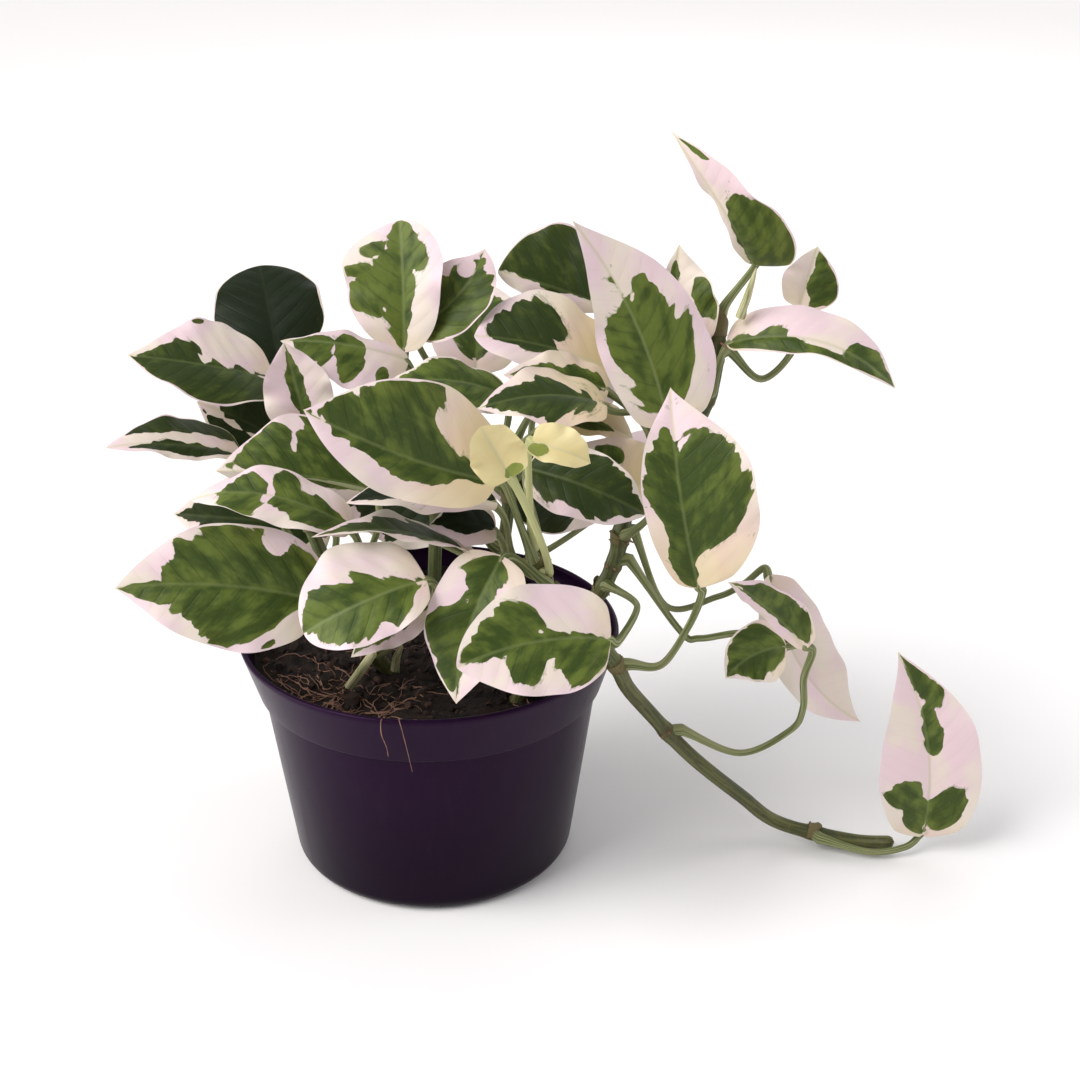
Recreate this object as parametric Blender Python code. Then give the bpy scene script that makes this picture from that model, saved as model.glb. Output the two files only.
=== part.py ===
"""Variegated pothos in a nursery pot.

The pot stands on the plane z = 0 with its axis on the Z axis. Vines rise out of the soil, one of them
trails over the rim and lies on the standing surface, and every leaf is one closed solid of blade and
stalk. Lengths are in millimetres until a mesh is made, where MM turns them into metres.
"""

import math

import bmesh
import bpy
import numpy as np
from mathutils import Matrix, Vector

MM = 0.001

# The pot: a thin-walled nursery pot with a flared band under its lip.
RIM_RADIUS = 60.0
POT_HEIGHT = 78.0
BAND_HEIGHT = 17.0
BAND_FOOT_RADIUS = 54.5
BODY_TOP_RADIUS = 53.2
BODY_BASE_RADIUS = 45.3
WALL = 1.5
FLOOR = 2.5
CORNER = 5.0
DRAIN_RADIUS = 4.0
DRAIN_CIRCLE = 27.0
DRAINS = 6
FOOT_NOTCH = (17.0, 16.0, 2.0)
FOOT_NOTCHES = 4
FIRST_NOTCH_ANGLE = -96.0
ROUND_STEPS = 40

# The soil fills the pot to a little under the lip.
SOIL_TOP = 70.0
SOIL_GAP = 0.4

# Leaf sections: where they stand along the blade, and how thick the blade is at its rib and beside it.
BLADE_STATIONS = (0.0, 0.16, 0.36, 0.56, 0.76, 0.93)
RIB_THICKNESS = 0.9
SIDE_THICKNESS = 0.5
STALK_RADIUS = 1.25
STALK_GAP = 0.75
STALK_STEPS = 4
VIA_STEPS = 3

GREEN = (0.09, 0.19, 0.045)
PALE_GREEN = (0.45, 0.52, 0.25)
STEM_GREEN = (0.16, 0.22, 0.07)
YOUNG = (0.78, 0.70, 0.36)
POT_PURPLE = (0.028, 0.018, 0.036)
SOIL_BROWN = (0.018, 0.012, 0.009)


class Leaf:
    """One leaf: the vine it grows from and how far along it, blade base and tip, width and facing.

    face is the way the upper side looks. arch lifts the middle of the rib towards that side, sway moves
    it to the right, hook bends the tip down and twist turns the blade along its length. folds are the
    angles that the left and right halves rise by, sides the share of the half width each one has.
    widest, heel, lobe and point shape the outline, along sets how far the stalk runs on with the rib.
    """

    def __init__(self, name, vine, at, base, tip, width, face, arch=0, sway=0, hook=0, twist=0,
                 folds=(15, 15), sides=(1, 1), widest=0.42, heel=0.22, lobe=0.02, point=1.1,
                 along=0.8, via=()):
        self.name = name
        self.vine = vine
        self.at = at
        self.base = np.array(base, float)
        self.tip = np.array(tip, float)
        self.width = width
        self.face = np.array(face, float)
        self.arch = arch
        self.sway = sway
        self.hook = hook
        self.twist = twist
        self.folds = folds
        self.sides = sides
        self.widest = widest
        self.heel = heel
        self.lobe = lobe
        self.point = point
        self.along = along
        self.via = [np.array(place, float) for place in via]


# Each vine has its radius and the points that it passes through, from the soil to its tip.
VINES = {
    "vine_trailing": (2.4, [
        (34, -26, 73), (51, -29, 86), (58, -26, 78), (62, -22, 68), (69, -18, 57), (83, -13, 38),
        (100, -10, 21), (114, -5, 7), (137, -9, 3), (151, -12, 4),
    ]),
    "vine_tall": (2.4, [
        (44, -4, 73), (51, -3, 86), (58, -1, 100), (62, 2, 117), (70, 6, 132), (82, 8, 143),
        (88, 12, 156), (89, 16, 171),
    ]),
    "vine_centre": (2.2, [(26, -16, 73), (37, -26, 100), (33, -34, 121)]),
    "vine_front": (2.2, [(30, -32, 73), (43, -36, 102), (38, -42, 113)]),
    "vine_left": (2.3, [(-14, -16, 73), (-22, -24, 88), (-26, -22, 104)]),
    "vine_far_left": (2.2, [(-24, 10, 73), (-36, 14, 100), (-44, 18, 128)]),
    "vine_back": (2.2, [(0, 20, 73), (2, 26, 110), (6, 24, 140)]),
    "vine_rear": (2.2, [(20, 32, 73), (24, 40, 96), (26, 44, 118)]),
}

# Short shoots with no blade: a cut stalk, a sprout and a leaf that is still rolled up.
SHOOTS = {
    "stub": (1.6, [(-23, -29, 72), (-19, -34, 80), (-14, -42, 91)]),
    "sprout": (1.4, [(-10, -18, 72), (-9, -21, 78), (-7, -25, 84)]),
    "rolled_leaf": (1.4, [(95, 10, 177), (97, 9, 184), (99, 8, 193)]),
}

LEAVES = [
    Leaf("left_back_leaf_1", "vine_far_left", 0.72, (-48, 36, 153), (-56, 62, 177), 35, (1, -7, 7),
         arch=4, folds=(5, 5), widest=0.5, heel=0.1, point=0.5),
    Leaf("left_back_leaf_2", "vine_far_left", 0.95, (-48, 20, 154), (-90, 10, 165), 32, (3, -4, 9),
         arch=4, sway=-3, folds=(5, 15), sides=(0.9, 1.1)),
    Leaf("left_back_leaf_3", "vine_far_left", 0.4, (-57, 3, 136), (-95, -8, 142), 21, (2, -4, 9),
         arch=2, hook=2, folds=(10, 0), sides=(0.55, 1.25), widest=0.36, point=0.9),
    Leaf("left_back_leaf_4", "vine_far_left", 0.62, (-47, 21, 133), (-72, 20, 146), 22, (0, -7, 7), arch=2),
    Leaf("upper_leaf_1", "vine_back", 0.9, (-7, 20, 163), (-8, 34, 200), 34, (-1, -9, 3),
         arch=3, sway=1, folds=(5, 25), sides=(1.1, 0.8), widest=0.64, heel=0.06, point=0.6),
    Leaf("upper_leaf_2", "vine_back", 0.7, (-5, 6, 165), (-42, 0, 173), 28, (2, -5, 8),
         arch=3, folds=(-10, 10), sides=(0.95, 0.3)),
    Leaf("left_back_leaf_5", "vine_far_left", 1, (-34, -9, 148), (-40, -7, 175), 21, (1, -10, 2),
         arch=-1, widest=0.4),
    Leaf("upper_leaf_3", "vine_back", 1, (-3, 24, 169), (18, 34, 191), 22, (-2, -8, 6),
         arch=3, sway=5, hook=2, widest=0.5, heel=0.15),
    Leaf("upper_leaf_4", "vine_tall", 0.75, (60, 15, 157), (15, 13, 170), 30, (1, -5, 8),
         arch=4, sides=(0.7, 1.25), widest=0.64, heel=0.1, point=0.8),
    Leaf("upper_leaf_5", "vine_rear", 1, (54, 34, 173), (22, 30, 185), 30, (0, -8, 6),
         arch=2, folds=(-20, 10), sides=(0.4, 1.35), widest=0.5, point=0.7),
    Leaf("upper_leaf_6", "vine_back", 0.5, (25, -8, 159), (-11, -14, 164), 30, (0, -3, 9),
         arch=4, folds=(0, 10), sides=(0.85, 0.65)),
    Leaf("upper_leaf_7", "vine_tall", 0.6, (55, 0, 158), (24, -2, 163), 18, (0, -5, 8), arch=2),
    Leaf("upper_leaf_8", "vine_tall", 0.72, (54, -12, 158), (17, -22, 160), 24, (0, -3, 9),
         arch=4, folds=(0, 10)),
    Leaf("inner_leaf_1", "vine_back", 0.55, (40, -3, 150), (63, -5, 144), 15, (0, -6, 8),
         arch=3, folds=(30, 30)),
    Leaf("inner_leaf_2", "vine_tall", 0.35, (70, -12, 127), (47, -14, 146), 22, (0, -8, 5), arch=2),
    Leaf("tall_leaf_1", "vine_tall", 1, (99, 22, 190), (72, 10, 234), 18, (-5, -7, -5),
         arch=3, sway=5, folds=(20, 0), sides=(0.3, 1.95), widest=0.2, heel=0.32, point=1.4,
         via=[(92, 19, 179)]),
    Leaf("tall_leaf_2", "vine_tall", 0.93, (115, 26, 175), (120, 30, 193), 18, (0, -9, 3),
         arch=-1, sides=(0.85, 1.15), widest=0.34, heel=0.25, via=[(103, 16, 155), (113, 22, 162)]),
    Leaf("tall_leaf_3", "vine_tall", 0.82, (92, 10, 169), (142, 2, 157), 22, (0, -7, 7),
         arch=11, sway=-3, folds=(5, 10), sides=(1, 0.5), widest=0.4, heel=0.3, point=0.9),
    Leaf("tall_leaf_4", "vine_tall", 0.68, (73, -12, 151), (44, -4, 211), 37, (2, -9, 4),
         arch=-3, sway=5, folds=(10, 10), sides=(0.75, 1.05), widest=0.3, point=1.4),
    Leaf("tall_leaf_5", "vine_tall", 0.98, (84, 14, 167), (77, 22, 196), 17, (-3, -9, 1),
         arch=1, sway=-3, twist=30, sides=(0.6, 1.4)),
    Leaf("left_leaf_1", "vine_left", 0.35, (-29, -44, 109), (-86, -52, 117), 37, (1, -9, 4),
         arch=4, sway=3, widest=0.4, heel=0.26, lobe=0),
    Leaf("left_leaf_2", "vine_left", 0.95, (-15, -22, 135), (-59, -28, 143), 34, (0, -6, 8),
         arch=3, folds=(-60, 12), sides=(0.6, 1.15), widest=0.45),
    Leaf("left_leaf_3", "vine_left", 0.7, (-19, -40, 131), (-66, -36, 137), 20, (0, -4, 9),
         arch=6, hook=5, folds=(10, 10)),
    Leaf("front_leaf_1", "vine_left", 0.15, (3, -56, 122), (-31, -66, 110), 30, (0, -7, 7),
         arch=4, sides=(0.85, 1.15), widest=0.5, heel=0.14, lobe=0, point=0.55),
    Leaf("front_leaf_2", "vine_front", 0.2, (4, -48, 109), (-19, -58, 98), 14, (0, -5, 8), arch=3),
    Leaf("front_leaf_3", "vine_front", 1, (24, -51, 126), (11, -62, 85), 26, (-2, -8, 5),
         arch=8, sway=1, widest=0.3),
    Leaf("front_leaf_4", "vine_front", 0.6, (17, -42, 122), (-29, -54, 134), 22, (0, 1, 9), arch=5),
    Leaf("inner_leaf_4", "vine_centre", 0.76, (22, -38, 138), (-20, -44, 140), 26, (0, -1, 9), arch=3),
    Leaf("inner_leaf_5", "vine_centre", 0.42, (22, -33, 127), (3, -37, 130), 15, (0, -6, 8), arch=2),
    Leaf("centre_leaf", "vine_centre", 0.95, (23, -50, 149), (-29, -56, 173), 37, (1, -9, 3),
         arch=3, sway=-2, sides=(0.63, 1.2), widest=0.48, heel=0.14, lobe=0, via=[(29, -43, 134)]),
    Leaf("young_leaf_1", "vine_centre", 0.82, (27, -58, 154), (19, -61, 170), 16, (1, -10, 3),
         arch=-2, folds=(22, 22), widest=0.4, heel=0.5, point=0.5),
    Leaf("young_leaf_2", "vine_centre", 1, (33, -50, 161), (49, -53, 156), 14, (0, -8, 6),
         arch=3, folds=(30, 45), via=[(32, -47, 142)]),
    Leaf("inner_leaf_3", "vine_centre", 0.92, (32, -24, 142), (66, -30, 130), 22, (1, -8, 6),
         arch=5, point=0.9),
    Leaf("right_leaf", "vine_trailing", 0.2, (81, -42, 112), (72, -28, 169), 34, (-2, -10, 2),
         arch=3, sway=-1, sides=(0.65, 1.35), widest=0.5, heel=0.12, lobe=0, point=1.3,
         via=[(72, -26, 78), (79, -34, 95)]),
    Leaf("trailing_leaf_1", "vine_trailing", 0.42, (115, -28, 85), (90, -36, 111), 13, (-1, -9, -1),
         arch=-4, folds=(0, 10), sides=(0.6, 1.4), widest=0.4,
         via=[(99, -12, 38), (114, -15, 48), (117, -20, 59), (116, -24, 72)]),
    Leaf("trailing_leaf_2", "vine_tall", 0.28, (110, -22, 82), (92, -24, 72), 20, (-1, -10, 3),
         arch=-2, sway=2, widest=0.35, along=0.2, via=[(79, -8, 80), (85, -9, 78), (98, -15, 83)]),
    Leaf("trailing_leaf_3", "vine_tall", 0.36, (107, -3, 96), (138, -6, 46), 24, (5, -8, 3),
         arch=1, sway=8, sides=(1.2, 0.8), widest=0.45, point=1.3,
         via=[(75, 4, 83), (91, 4, 86), (99, 1, 92)]),
    Leaf("trailing_leaf_4", "vine_trailing", 0.84, (160, -14, 10), (147, -10, 74), 34, (1, -10, 1),
         arch=1, sway=5, widest=0.32, heel=0.27, lobe=0.04, point=1.3,
         via=[(142, -16, 3), (154, -15, 4)]),
    Leaf("front_leaf_5", "vine_tall", 0.2, (55, -62, 106), (12, -75, 104), 32, (2, -8, 6),
         arch=2, sway=3, widest=0.44, heel=0.26, lobe=0, point=0.8, via=[(63, -28, 101), (63, -42, 104)]),
    Leaf("rear_leaf_1", "vine_back", 0.8, (-18, 50, 130), (-54, 72, 96), 36, (-5, 6, 4), arch=6),
    Leaf("rear_leaf_2", "vine_rear", 0.7, (4, 58, 128), (-8, 100, 98), 37, (-2, 7, 5), arch=6),
    Leaf("rear_leaf_3", "vine_rear", 0.8, (34, 56, 136), (58, 94, 112), 34, (1, 7, 5), arch=5),
    Leaf("rear_leaf_4", "vine_tall", 0.45, (62, 36, 120), (106, 58, 110), 31, (2, 2, 8), arch=5),
    Leaf("rear_leaf_5", "vine_rear", 0.95, (14, 46, 146), (16, 80, 166), 32, (0, -4, 8), arch=3),
    Leaf("rear_leaf_6", "vine_far_left", 0.3, (-34, 30, 98), (-84, 28, 104), 32, (0, -8, 5), arch=3),
    Leaf("rear_leaf_7", "vine_rear", 0.15, (58, 50, 104), (18, 56, 100), 32, (0, -8, 5), arch=2),
    Leaf("rear_leaf_8", "vine_rear", 0.3, (12, 38, 101), (-34, 42, 104), 30, (0, -8, 5), arch=-2),
]


def unit(vectors):
    """Vectors divided by their own lengths."""
    vectors = np.asarray(vectors, float)
    return vectors / np.linalg.norm(vectors, axis=-1, keepdims=True)


def smooth_curve(points, steps):
    """Points along a Catmull-Rom curve, with the given number of steps between two route points."""
    route = np.array(points, float)
    route = np.vstack([2 * route[0] - route[1], route, 2 * route[-1] - route[-2]])
    t = np.linspace(0, 1, steps, endpoint=False)[:, None]
    pieces = []
    for a, b, c, d in zip(route[:-3], route[1:-2], route[2:-1], route[3:]):
        linear = (c - a) * t
        square = (2 * a - 5 * b + 4 * c - d) * t**2
        cube = (3 * b - a - 3 * c + d) * t**3
        pieces.append(0.5 * (2 * b + linear + square + cube))
    pieces.append(route[-2:-1])
    return np.vstack(pieces)


def arc_curve(start, first, second, end, steps):
    """Points along a cubic Bezier curve."""
    t = np.linspace(0, 1, steps + 1)[:, None]
    early = (1 - t) ** 3 * start + 3 * t * (1 - t) ** 2 * first
    late = 3 * t**2 * (1 - t) * second + t**3 * end
    return early + late


def vine_place(name, share):
    """A vine's point, direction and radius at a share of its length."""
    radius, route = VINES[name]
    line = smooth_curve(route, 12)
    steps = np.linalg.norm(np.diff(line, axis=0), axis=1)
    reach = np.concatenate([[0.0], np.cumsum(steps)])
    reach /= reach[-1]

    def at(where):
        return np.array([np.interp(where, reach, line[:, axis]) for axis in range(3)])

    direction = unit(at(min(share + 0.02, 1.0)) - at(max(share - 0.02, 0.0)))
    return at(share), direction, radius


def half_width(leaf, u):
    """Half the blade's width at shares u of its length: a quarter ellipse, then a pointed curve."""
    before = np.clip((leaf.widest - u) / leaf.widest, 0, 1)
    after = np.clip((u - leaf.widest) / (1 - leaf.widest), 0, 1)
    heel_part = leaf.heel + (1 - leaf.heel) * np.sqrt(1 - before**2)
    tip_part = (1 - after**2.1) ** leaf.point
    return leaf.width / 2 * np.where(u > leaf.widest, tip_part, heel_part)


def rib_line(leaf, u):
    """The rib: the chord from base to tip, arched and swayed by a parabola, with a hooked tip."""
    chord = leaf.tip - leaf.base
    ahead = unit(chord)
    up = unit(leaf.face - ahead * (leaf.face @ ahead))
    right = np.cross(ahead, up)
    u = np.asarray(u, float)[:, None]
    hump = 4 * u * (1 - u)
    lift = leaf.arch * hump + leaf.hook * (u - u**4)
    return leaf.base + chord * u + up * lift + right * leaf.sway * hump


def rib_frames(leaf, u):
    """The rib's direction, the way to the right and the way up from the blade, at shares u."""
    nudge = 0.001
    ahead = unit(rib_line(leaf, u + nudge) - rib_line(leaf, u - nudge))
    up = unit(leaf.face - ahead * (ahead @ leaf.face)[:, None])
    right = np.cross(ahead, up)
    turn = np.radians(leaf.twist) * (u - 0.5)[:, None]
    up = up * np.cos(turn) + right * np.sin(turn)
    return ahead, np.cross(ahead, up), up


def blade_surface(leaf, u, v):
    """The blade's upper face: each half rises by its fold and curls back towards its margin."""
    ahead, right, up = rib_frames(leaf, u)
    on_right = (v > 0)[None, :]
    reach = np.abs(v)[None, :]
    along = u[:, None]
    half = half_width(leaf, u)[:, None] * np.where(on_right, leaf.sides[1], leaf.sides[0])
    angle = np.radians(np.where(on_right, leaf.folds[1], leaf.folds[0]) - 7.5 * reach)
    across = np.sign(v)[None, :] * half * reach * np.cos(angle)
    wave = np.sin(2 * np.pi * (1.7 * along + 0.31 * on_right)) * np.sin(np.pi * along)
    rise = half * reach * np.sin(angle) + 1.2 * reach**2 * wave
    length = np.linalg.norm(leaf.tip - leaf.base)
    back = -leaf.lobe * length * np.sin(np.pi / 2 * reach) * (1 - along) ** 3
    places = rib_line(leaf, u)[:, None, :]
    places = places + ahead[:, None, :] * back[..., None]
    return places + right[:, None, :] * across[..., None] + up[:, None, :] * rise[..., None]


def stalk_line(leaf):
    """The stalk's centre line, from beside its vine to the foot of the blade."""
    ahead, _, up = (way[0] for way in rib_frames(leaf, np.array([0.0])))
    arrive = unit(ahead * leaf.along + up * 0.5)
    node, growth, vine_radius = vine_place(leaf.vine, leaf.at)
    aim = leaf.via[0] if leaf.via else leaf.base
    leave = unit(aim - node)
    if leaf.at >= 0.97:
        leave = unit(leave + growth * 0.8)
    else:
        leave = unit(unit(leave - growth * (leave @ growth)) + growth * 0.55)
    start = node + leave * (vine_radius + STALK_RADIUS + STALK_GAP)
    if leaf.via:
        return smooth_curve([start, *leaf.via, leaf.base - arrive * 4, leaf.base], VIA_STEPS)
    reach = np.linalg.norm(leaf.base - node)
    before_base = leaf.base - arrive * min(reach * 0.33, 14)
    return arc_curve(start, start + leave * reach * 0.33, before_base, leaf.base, STALK_STEPS)


def stalk_rings(leaf):
    """Eight-sided rings along the stalk, turned so that the last one lines up with the blade."""
    line = stalk_line(leaf)
    ahead = unit(np.gradient(line, axis=0))
    turns = np.radians([180, 135, 90, 45, 0, -45, -90, -135])
    side = rib_frames(leaf, np.array([0.0]))[1][0]
    rings = []
    for place, way in zip(line[::-1], ahead[::-1]):
        side = unit(side - way * (side @ way))
        up = np.cross(side, way)
        spokes = np.cos(turns)[:, None] * side + np.sin(turns)[:, None] * up
        rings.append(place + STALK_RADIUS * spokes)
    return rings[:0:-1]


def blade_rings(leaf):
    """Eight-point lens sections of the blade: five points above, three below, sharp at the margins."""
    u = np.array(BLADE_STATIONS)
    top = blade_surface(leaf, u, np.array([-1.0, -0.5, 0.0, 0.5, 1.0]))
    up = rib_frames(leaf, u)[2]
    drops = np.array([SIDE_THICKNESS, RIB_THICKNESS, SIDE_THICKNESS])
    rings = []
    for row, way, share in zip(top, up, u):
        thin = 0.7 if share == u[-1] else 1.0
        below = row[[3, 2, 1]] - way * (drops * thin)[:, None]
        rings.append(np.vstack([row, below]))
    return rings


def closed_loft(name, rings, start, end):
    """A mesh whose rings are joined in turn, closed by a fan to a point at each end."""
    model = bmesh.new()
    loops = [[model.verts.new(place * MM) for place in ring] for ring in rings]
    for lower, upper in zip(loops[:-1], loops[1:]):
        for k in range(len(lower)):
            following = (k + 1) % len(lower)
            model.faces.new((lower[k], lower[following], upper[following], upper[k]))
    first = model.verts.new(start * MM)
    last = model.verts.new(end * MM)
    for k in range(len(loops[0])):
        following = (k + 1) % len(loops[0])
        model.faces.new((first, loops[0][following], loops[0][k]))
        model.faces.new((loops[-1][k], loops[-1][following], last))
    bmesh.ops.triangulate(model, faces=model.faces)
    bmesh.ops.recalc_face_normals(model, faces=model.faces)
    mesh = bpy.data.meshes.new(name)
    model.to_mesh(mesh)
    model.free()
    mesh.shade_smooth()
    return mesh


def material(name, colour, roughness):
    """A plain Principled material."""
    made = bpy.data.materials.new(name)
    made.use_nodes = True
    shader = made.node_tree.nodes["Principled BSDF"]
    shader.inputs["Base Color"].default_value = (*colour, 1)
    shader.inputs["Roughness"].default_value = roughness
    shader.inputs["Metallic"].default_value = 0.0
    made.diffuse_color = (*colour, 1)
    return made


def place_object(name, data, finish):
    """An object in the scene with its material."""
    made = bpy.data.objects.new(name, data)
    data.materials.append(finish)
    bpy.context.collection.objects.link(made)
    return made


def turned_mesh(name, profile):
    """A solid of revolution from a profile of radius and height that starts and ends on the axis."""
    model = bmesh.new()
    points = [model.verts.new(Vector((radius, 0, height)) * MM) for radius, height in profile]
    edges = [model.edges.new(pair) for pair in zip(points[:-1], points[1:])]
    bmesh.ops.spin(
        model,
        geom=points + edges,
        cent=(0, 0, 0),
        axis=(0, 0, 1),
        angle=2 * math.pi,
        steps=ROUND_STEPS,
        use_merge=True,
        use_duplicate=False,
    )
    bmesh.ops.remove_doubles(model, verts=model.verts, dist=0.00001)
    bmesh.ops.recalc_face_normals(model, faces=model.faces)
    mesh = bpy.data.meshes.new(name)
    model.to_mesh(mesh)
    model.free()
    mesh.shade_smooth()
    mesh.set_sharp_from_angle(angle=math.radians(35))
    return mesh


def inner_radius(height):
    """The radius of the pot's inner wall at a height."""
    band_foot = POT_HEIGHT - BAND_HEIGHT
    heights = (FLOOR, band_foot, POT_HEIGHT)
    radii = (BODY_BASE_RADIUS - WALL - 1, BODY_TOP_RADIUS - WALL, RIM_RADIUS - WALL)
    return float(np.interp(height, heights, radii))


def cutter(name, mesh, target):
    """A hidden wire object that the target is cut by."""
    made = bpy.data.objects.new(name, mesh)
    made.hide_render = True
    made.display_type = "WIRE"
    bpy.context.collection.objects.link(made)
    cut = target.modifiers.new(name, "BOOLEAN")
    cut.operation = "DIFFERENCE"
    cut.solver = "EXACT"
    cut.object = made


def pot_cuts():
    """The drain holes through the floor and the notches between the feet, as one mesh."""
    model = bmesh.new()
    for k in range(DRAINS):
        angle = math.radians(30) + 2 * math.pi * k / DRAINS
        centre = Vector((math.cos(angle), math.sin(angle), 0)) * DRAIN_CIRCLE * MM
        bmesh.ops.create_cone(
            model,
            cap_ends=True,
            segments=12,
            radius1=DRAIN_RADIUS * MM,
            radius2=DRAIN_RADIUS * MM,
            depth=4 * FLOOR * MM,
            matrix=Matrix.Translation(centre),
        )
    wide, deep, high = (size * MM for size in FOOT_NOTCH)
    for k in range(FOOT_NOTCHES):
        angle = math.radians(FIRST_NOTCH_ANGLE + 360 * k / FOOT_NOTCHES)
        turn = Matrix.Rotation(angle, 4, "Z")
        outwards = Matrix.Translation((BODY_BASE_RADIUS * MM, 0, 0))
        size = Matrix.Diagonal((deep, wide, 2 * high, 1))
        bmesh.ops.create_cube(model, size=1.0, matrix=turn @ outwards @ size)
    mesh = bpy.data.meshes.new("pot_cuts")
    model.to_mesh(mesh)
    model.free()
    return mesh


def make_pot():
    """The pot: one thin wall with a flared band, cut by its drain holes and foot notches."""
    band_foot = POT_HEIGHT - BAND_HEIGHT
    corner = [
        (
            BODY_BASE_RADIUS - CORNER * (1 - math.sin(angle)),
            CORNER * (1 - math.cos(angle)),
        )
        for angle in np.radians([0, 30, 60, 85])
    ]
    outside = [
        (0, 0),
        *corner,
        (BODY_TOP_RADIUS, band_foot - 0.6),
        (BAND_FOOT_RADIUS, band_foot),
        (RIM_RADIUS - 0.6, POT_HEIGHT - 1.2),
        (RIM_RADIUS, POT_HEIGHT - 0.4),
        (RIM_RADIUS - 0.4, POT_HEIGHT),
    ]
    inside = [
        (inner_radius(POT_HEIGHT), POT_HEIGHT),
        (inner_radius(band_foot), band_foot),
        (inner_radius(FLOOR), FLOOR),
        (0, FLOOR),
    ]
    plastic = material("purple_plastic", POT_PURPLE, 0.35)
    pot = place_object("pot", turned_mesh("pot", outside + inside), plastic)
    cutter("pot_cuts", pot_cuts(), pot)


def make_soil():
    """The soil: a plug that follows the pot's inner wall and stops under the lip."""
    floor = FLOOR + SOIL_GAP
    band_foot = POT_HEIGHT - BAND_HEIGHT
    profile = [
        (0, floor),
        (inner_radius(floor) - SOIL_GAP, floor),
        (inner_radius(band_foot) - SOIL_GAP, band_foot),
        (inner_radius(SOIL_TOP) - SOIL_GAP, SOIL_TOP),
        (0, SOIL_TOP),
    ]
    place_object("soil", turned_mesh("soil", profile), material("soil", SOIL_BROWN, 0.95))


def make_vine(name, radius, route):
    """A vine: a round bevelled curve with filled ends."""
    curve = bpy.data.curves.new(name, "CURVE")
    curve.dimensions = "3D"
    curve.bevel_depth = radius * MM
    curve.bevel_resolution = 2
    curve.use_fill_caps = True
    line = smooth_curve(route, VIA_STEPS)
    spline = curve.splines.new("POLY")
    spline.points.add(len(line) - 1)
    for point, place in zip(spline.points, line):
        point.co = (*(place * MM), 1)
    place_object(name, curve, material(name, STEM_GREEN, 0.5))


def make_shoot(name, radius, route, colour):
    """A shoot: a tapered stem that closes to a blunt point."""
    line = smooth_curve(route, VIA_STEPS)
    ahead = unit(np.gradient(line, axis=0))
    turns = np.linspace(0, 2 * np.pi, 8, endpoint=False)
    side = np.array([1.0, 0.0, 0.0])
    rings = []
    for k, (place, way) in enumerate(zip(line[:-1], ahead)):
        side = unit(side - way * (side @ way))
        other = np.cross(way, side)
        size = radius * (1 - 0.5 * (k / len(line)) ** 2)
        rings.append(place + size * (np.cos(turns)[:, None] * side + np.sin(turns)[:, None] * other))
    mesh = closed_loft(name, rings, line[0], line[-1])
    place_object(name, mesh, material(name, colour, 0.5))


def make_leaf(leaf):
    """A leaf: stalk rings that open out into the blade's sections, closed at the tip."""
    rings = stalk_rings(leaf) + blade_rings(leaf)
    start = stalk_line(leaf)[0]
    mesh = closed_loft(leaf.name, rings, start, leaf.tip)
    colour = YOUNG if leaf.name.startswith("young") else GREEN
    place_object(leaf.name, mesh, material(leaf.name, colour, 0.4))


def main():
    for old in list(bpy.data.objects):
        bpy.data.objects.remove(old, do_unlink=True)
    make_pot()
    make_soil()
    for name, (radius, route) in VINES.items():
        make_vine(name, radius, route)
    for name, (radius, route) in SHOOTS.items():
        make_shoot(name, radius, route, PALE_GREEN)
    for leaf in LEAVES:
        make_leaf(leaf)


main()
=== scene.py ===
import math

import bmesh
import bpy
import numpy as np
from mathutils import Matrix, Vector


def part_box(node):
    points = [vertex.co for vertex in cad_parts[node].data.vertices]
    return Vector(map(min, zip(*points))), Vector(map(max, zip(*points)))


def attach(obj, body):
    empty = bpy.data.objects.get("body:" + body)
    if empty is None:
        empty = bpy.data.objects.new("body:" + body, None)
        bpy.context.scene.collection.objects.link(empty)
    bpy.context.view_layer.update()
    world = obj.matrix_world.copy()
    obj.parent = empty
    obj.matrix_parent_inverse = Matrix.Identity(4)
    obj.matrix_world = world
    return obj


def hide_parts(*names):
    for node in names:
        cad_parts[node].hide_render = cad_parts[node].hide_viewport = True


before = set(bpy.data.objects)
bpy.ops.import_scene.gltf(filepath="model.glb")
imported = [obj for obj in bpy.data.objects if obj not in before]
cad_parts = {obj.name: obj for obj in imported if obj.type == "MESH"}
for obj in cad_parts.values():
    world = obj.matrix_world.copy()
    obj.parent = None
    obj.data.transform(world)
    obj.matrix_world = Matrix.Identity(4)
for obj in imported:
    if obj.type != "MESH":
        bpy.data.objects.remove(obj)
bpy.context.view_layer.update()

# View, floor and light: the plant stands on a wide pale floor, lit by soft boxes from above, the left
# and the right. The camera looks down on it at 25 degrees from in front.

MM = 0.001
VIEW_TARGET = Vector((35, 0, 110)) * MM
VIEW_DISTANCE = 600 * MM
VIEW_ELEVATION = math.radians(25)
LENS = 64.5

camera_data = bpy.data.cameras.new("camera")
camera_data.lens = LENS
camera_data.sensor_width = 36
camera_data.clip_start = 0.01
camera = bpy.data.objects.new("camera", camera_data)
back_off = Vector((0, -math.cos(VIEW_ELEVATION), math.sin(VIEW_ELEVATION)))
camera.location = VIEW_TARGET + back_off * VIEW_DISTANCE
camera.rotation_euler = (math.pi / 2 - VIEW_ELEVATION, 0, 0)
bpy.context.collection.objects.link(camera)
bpy.context.scene.camera = camera
bpy.context.scene.view_settings.view_transform = "Standard"


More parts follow.
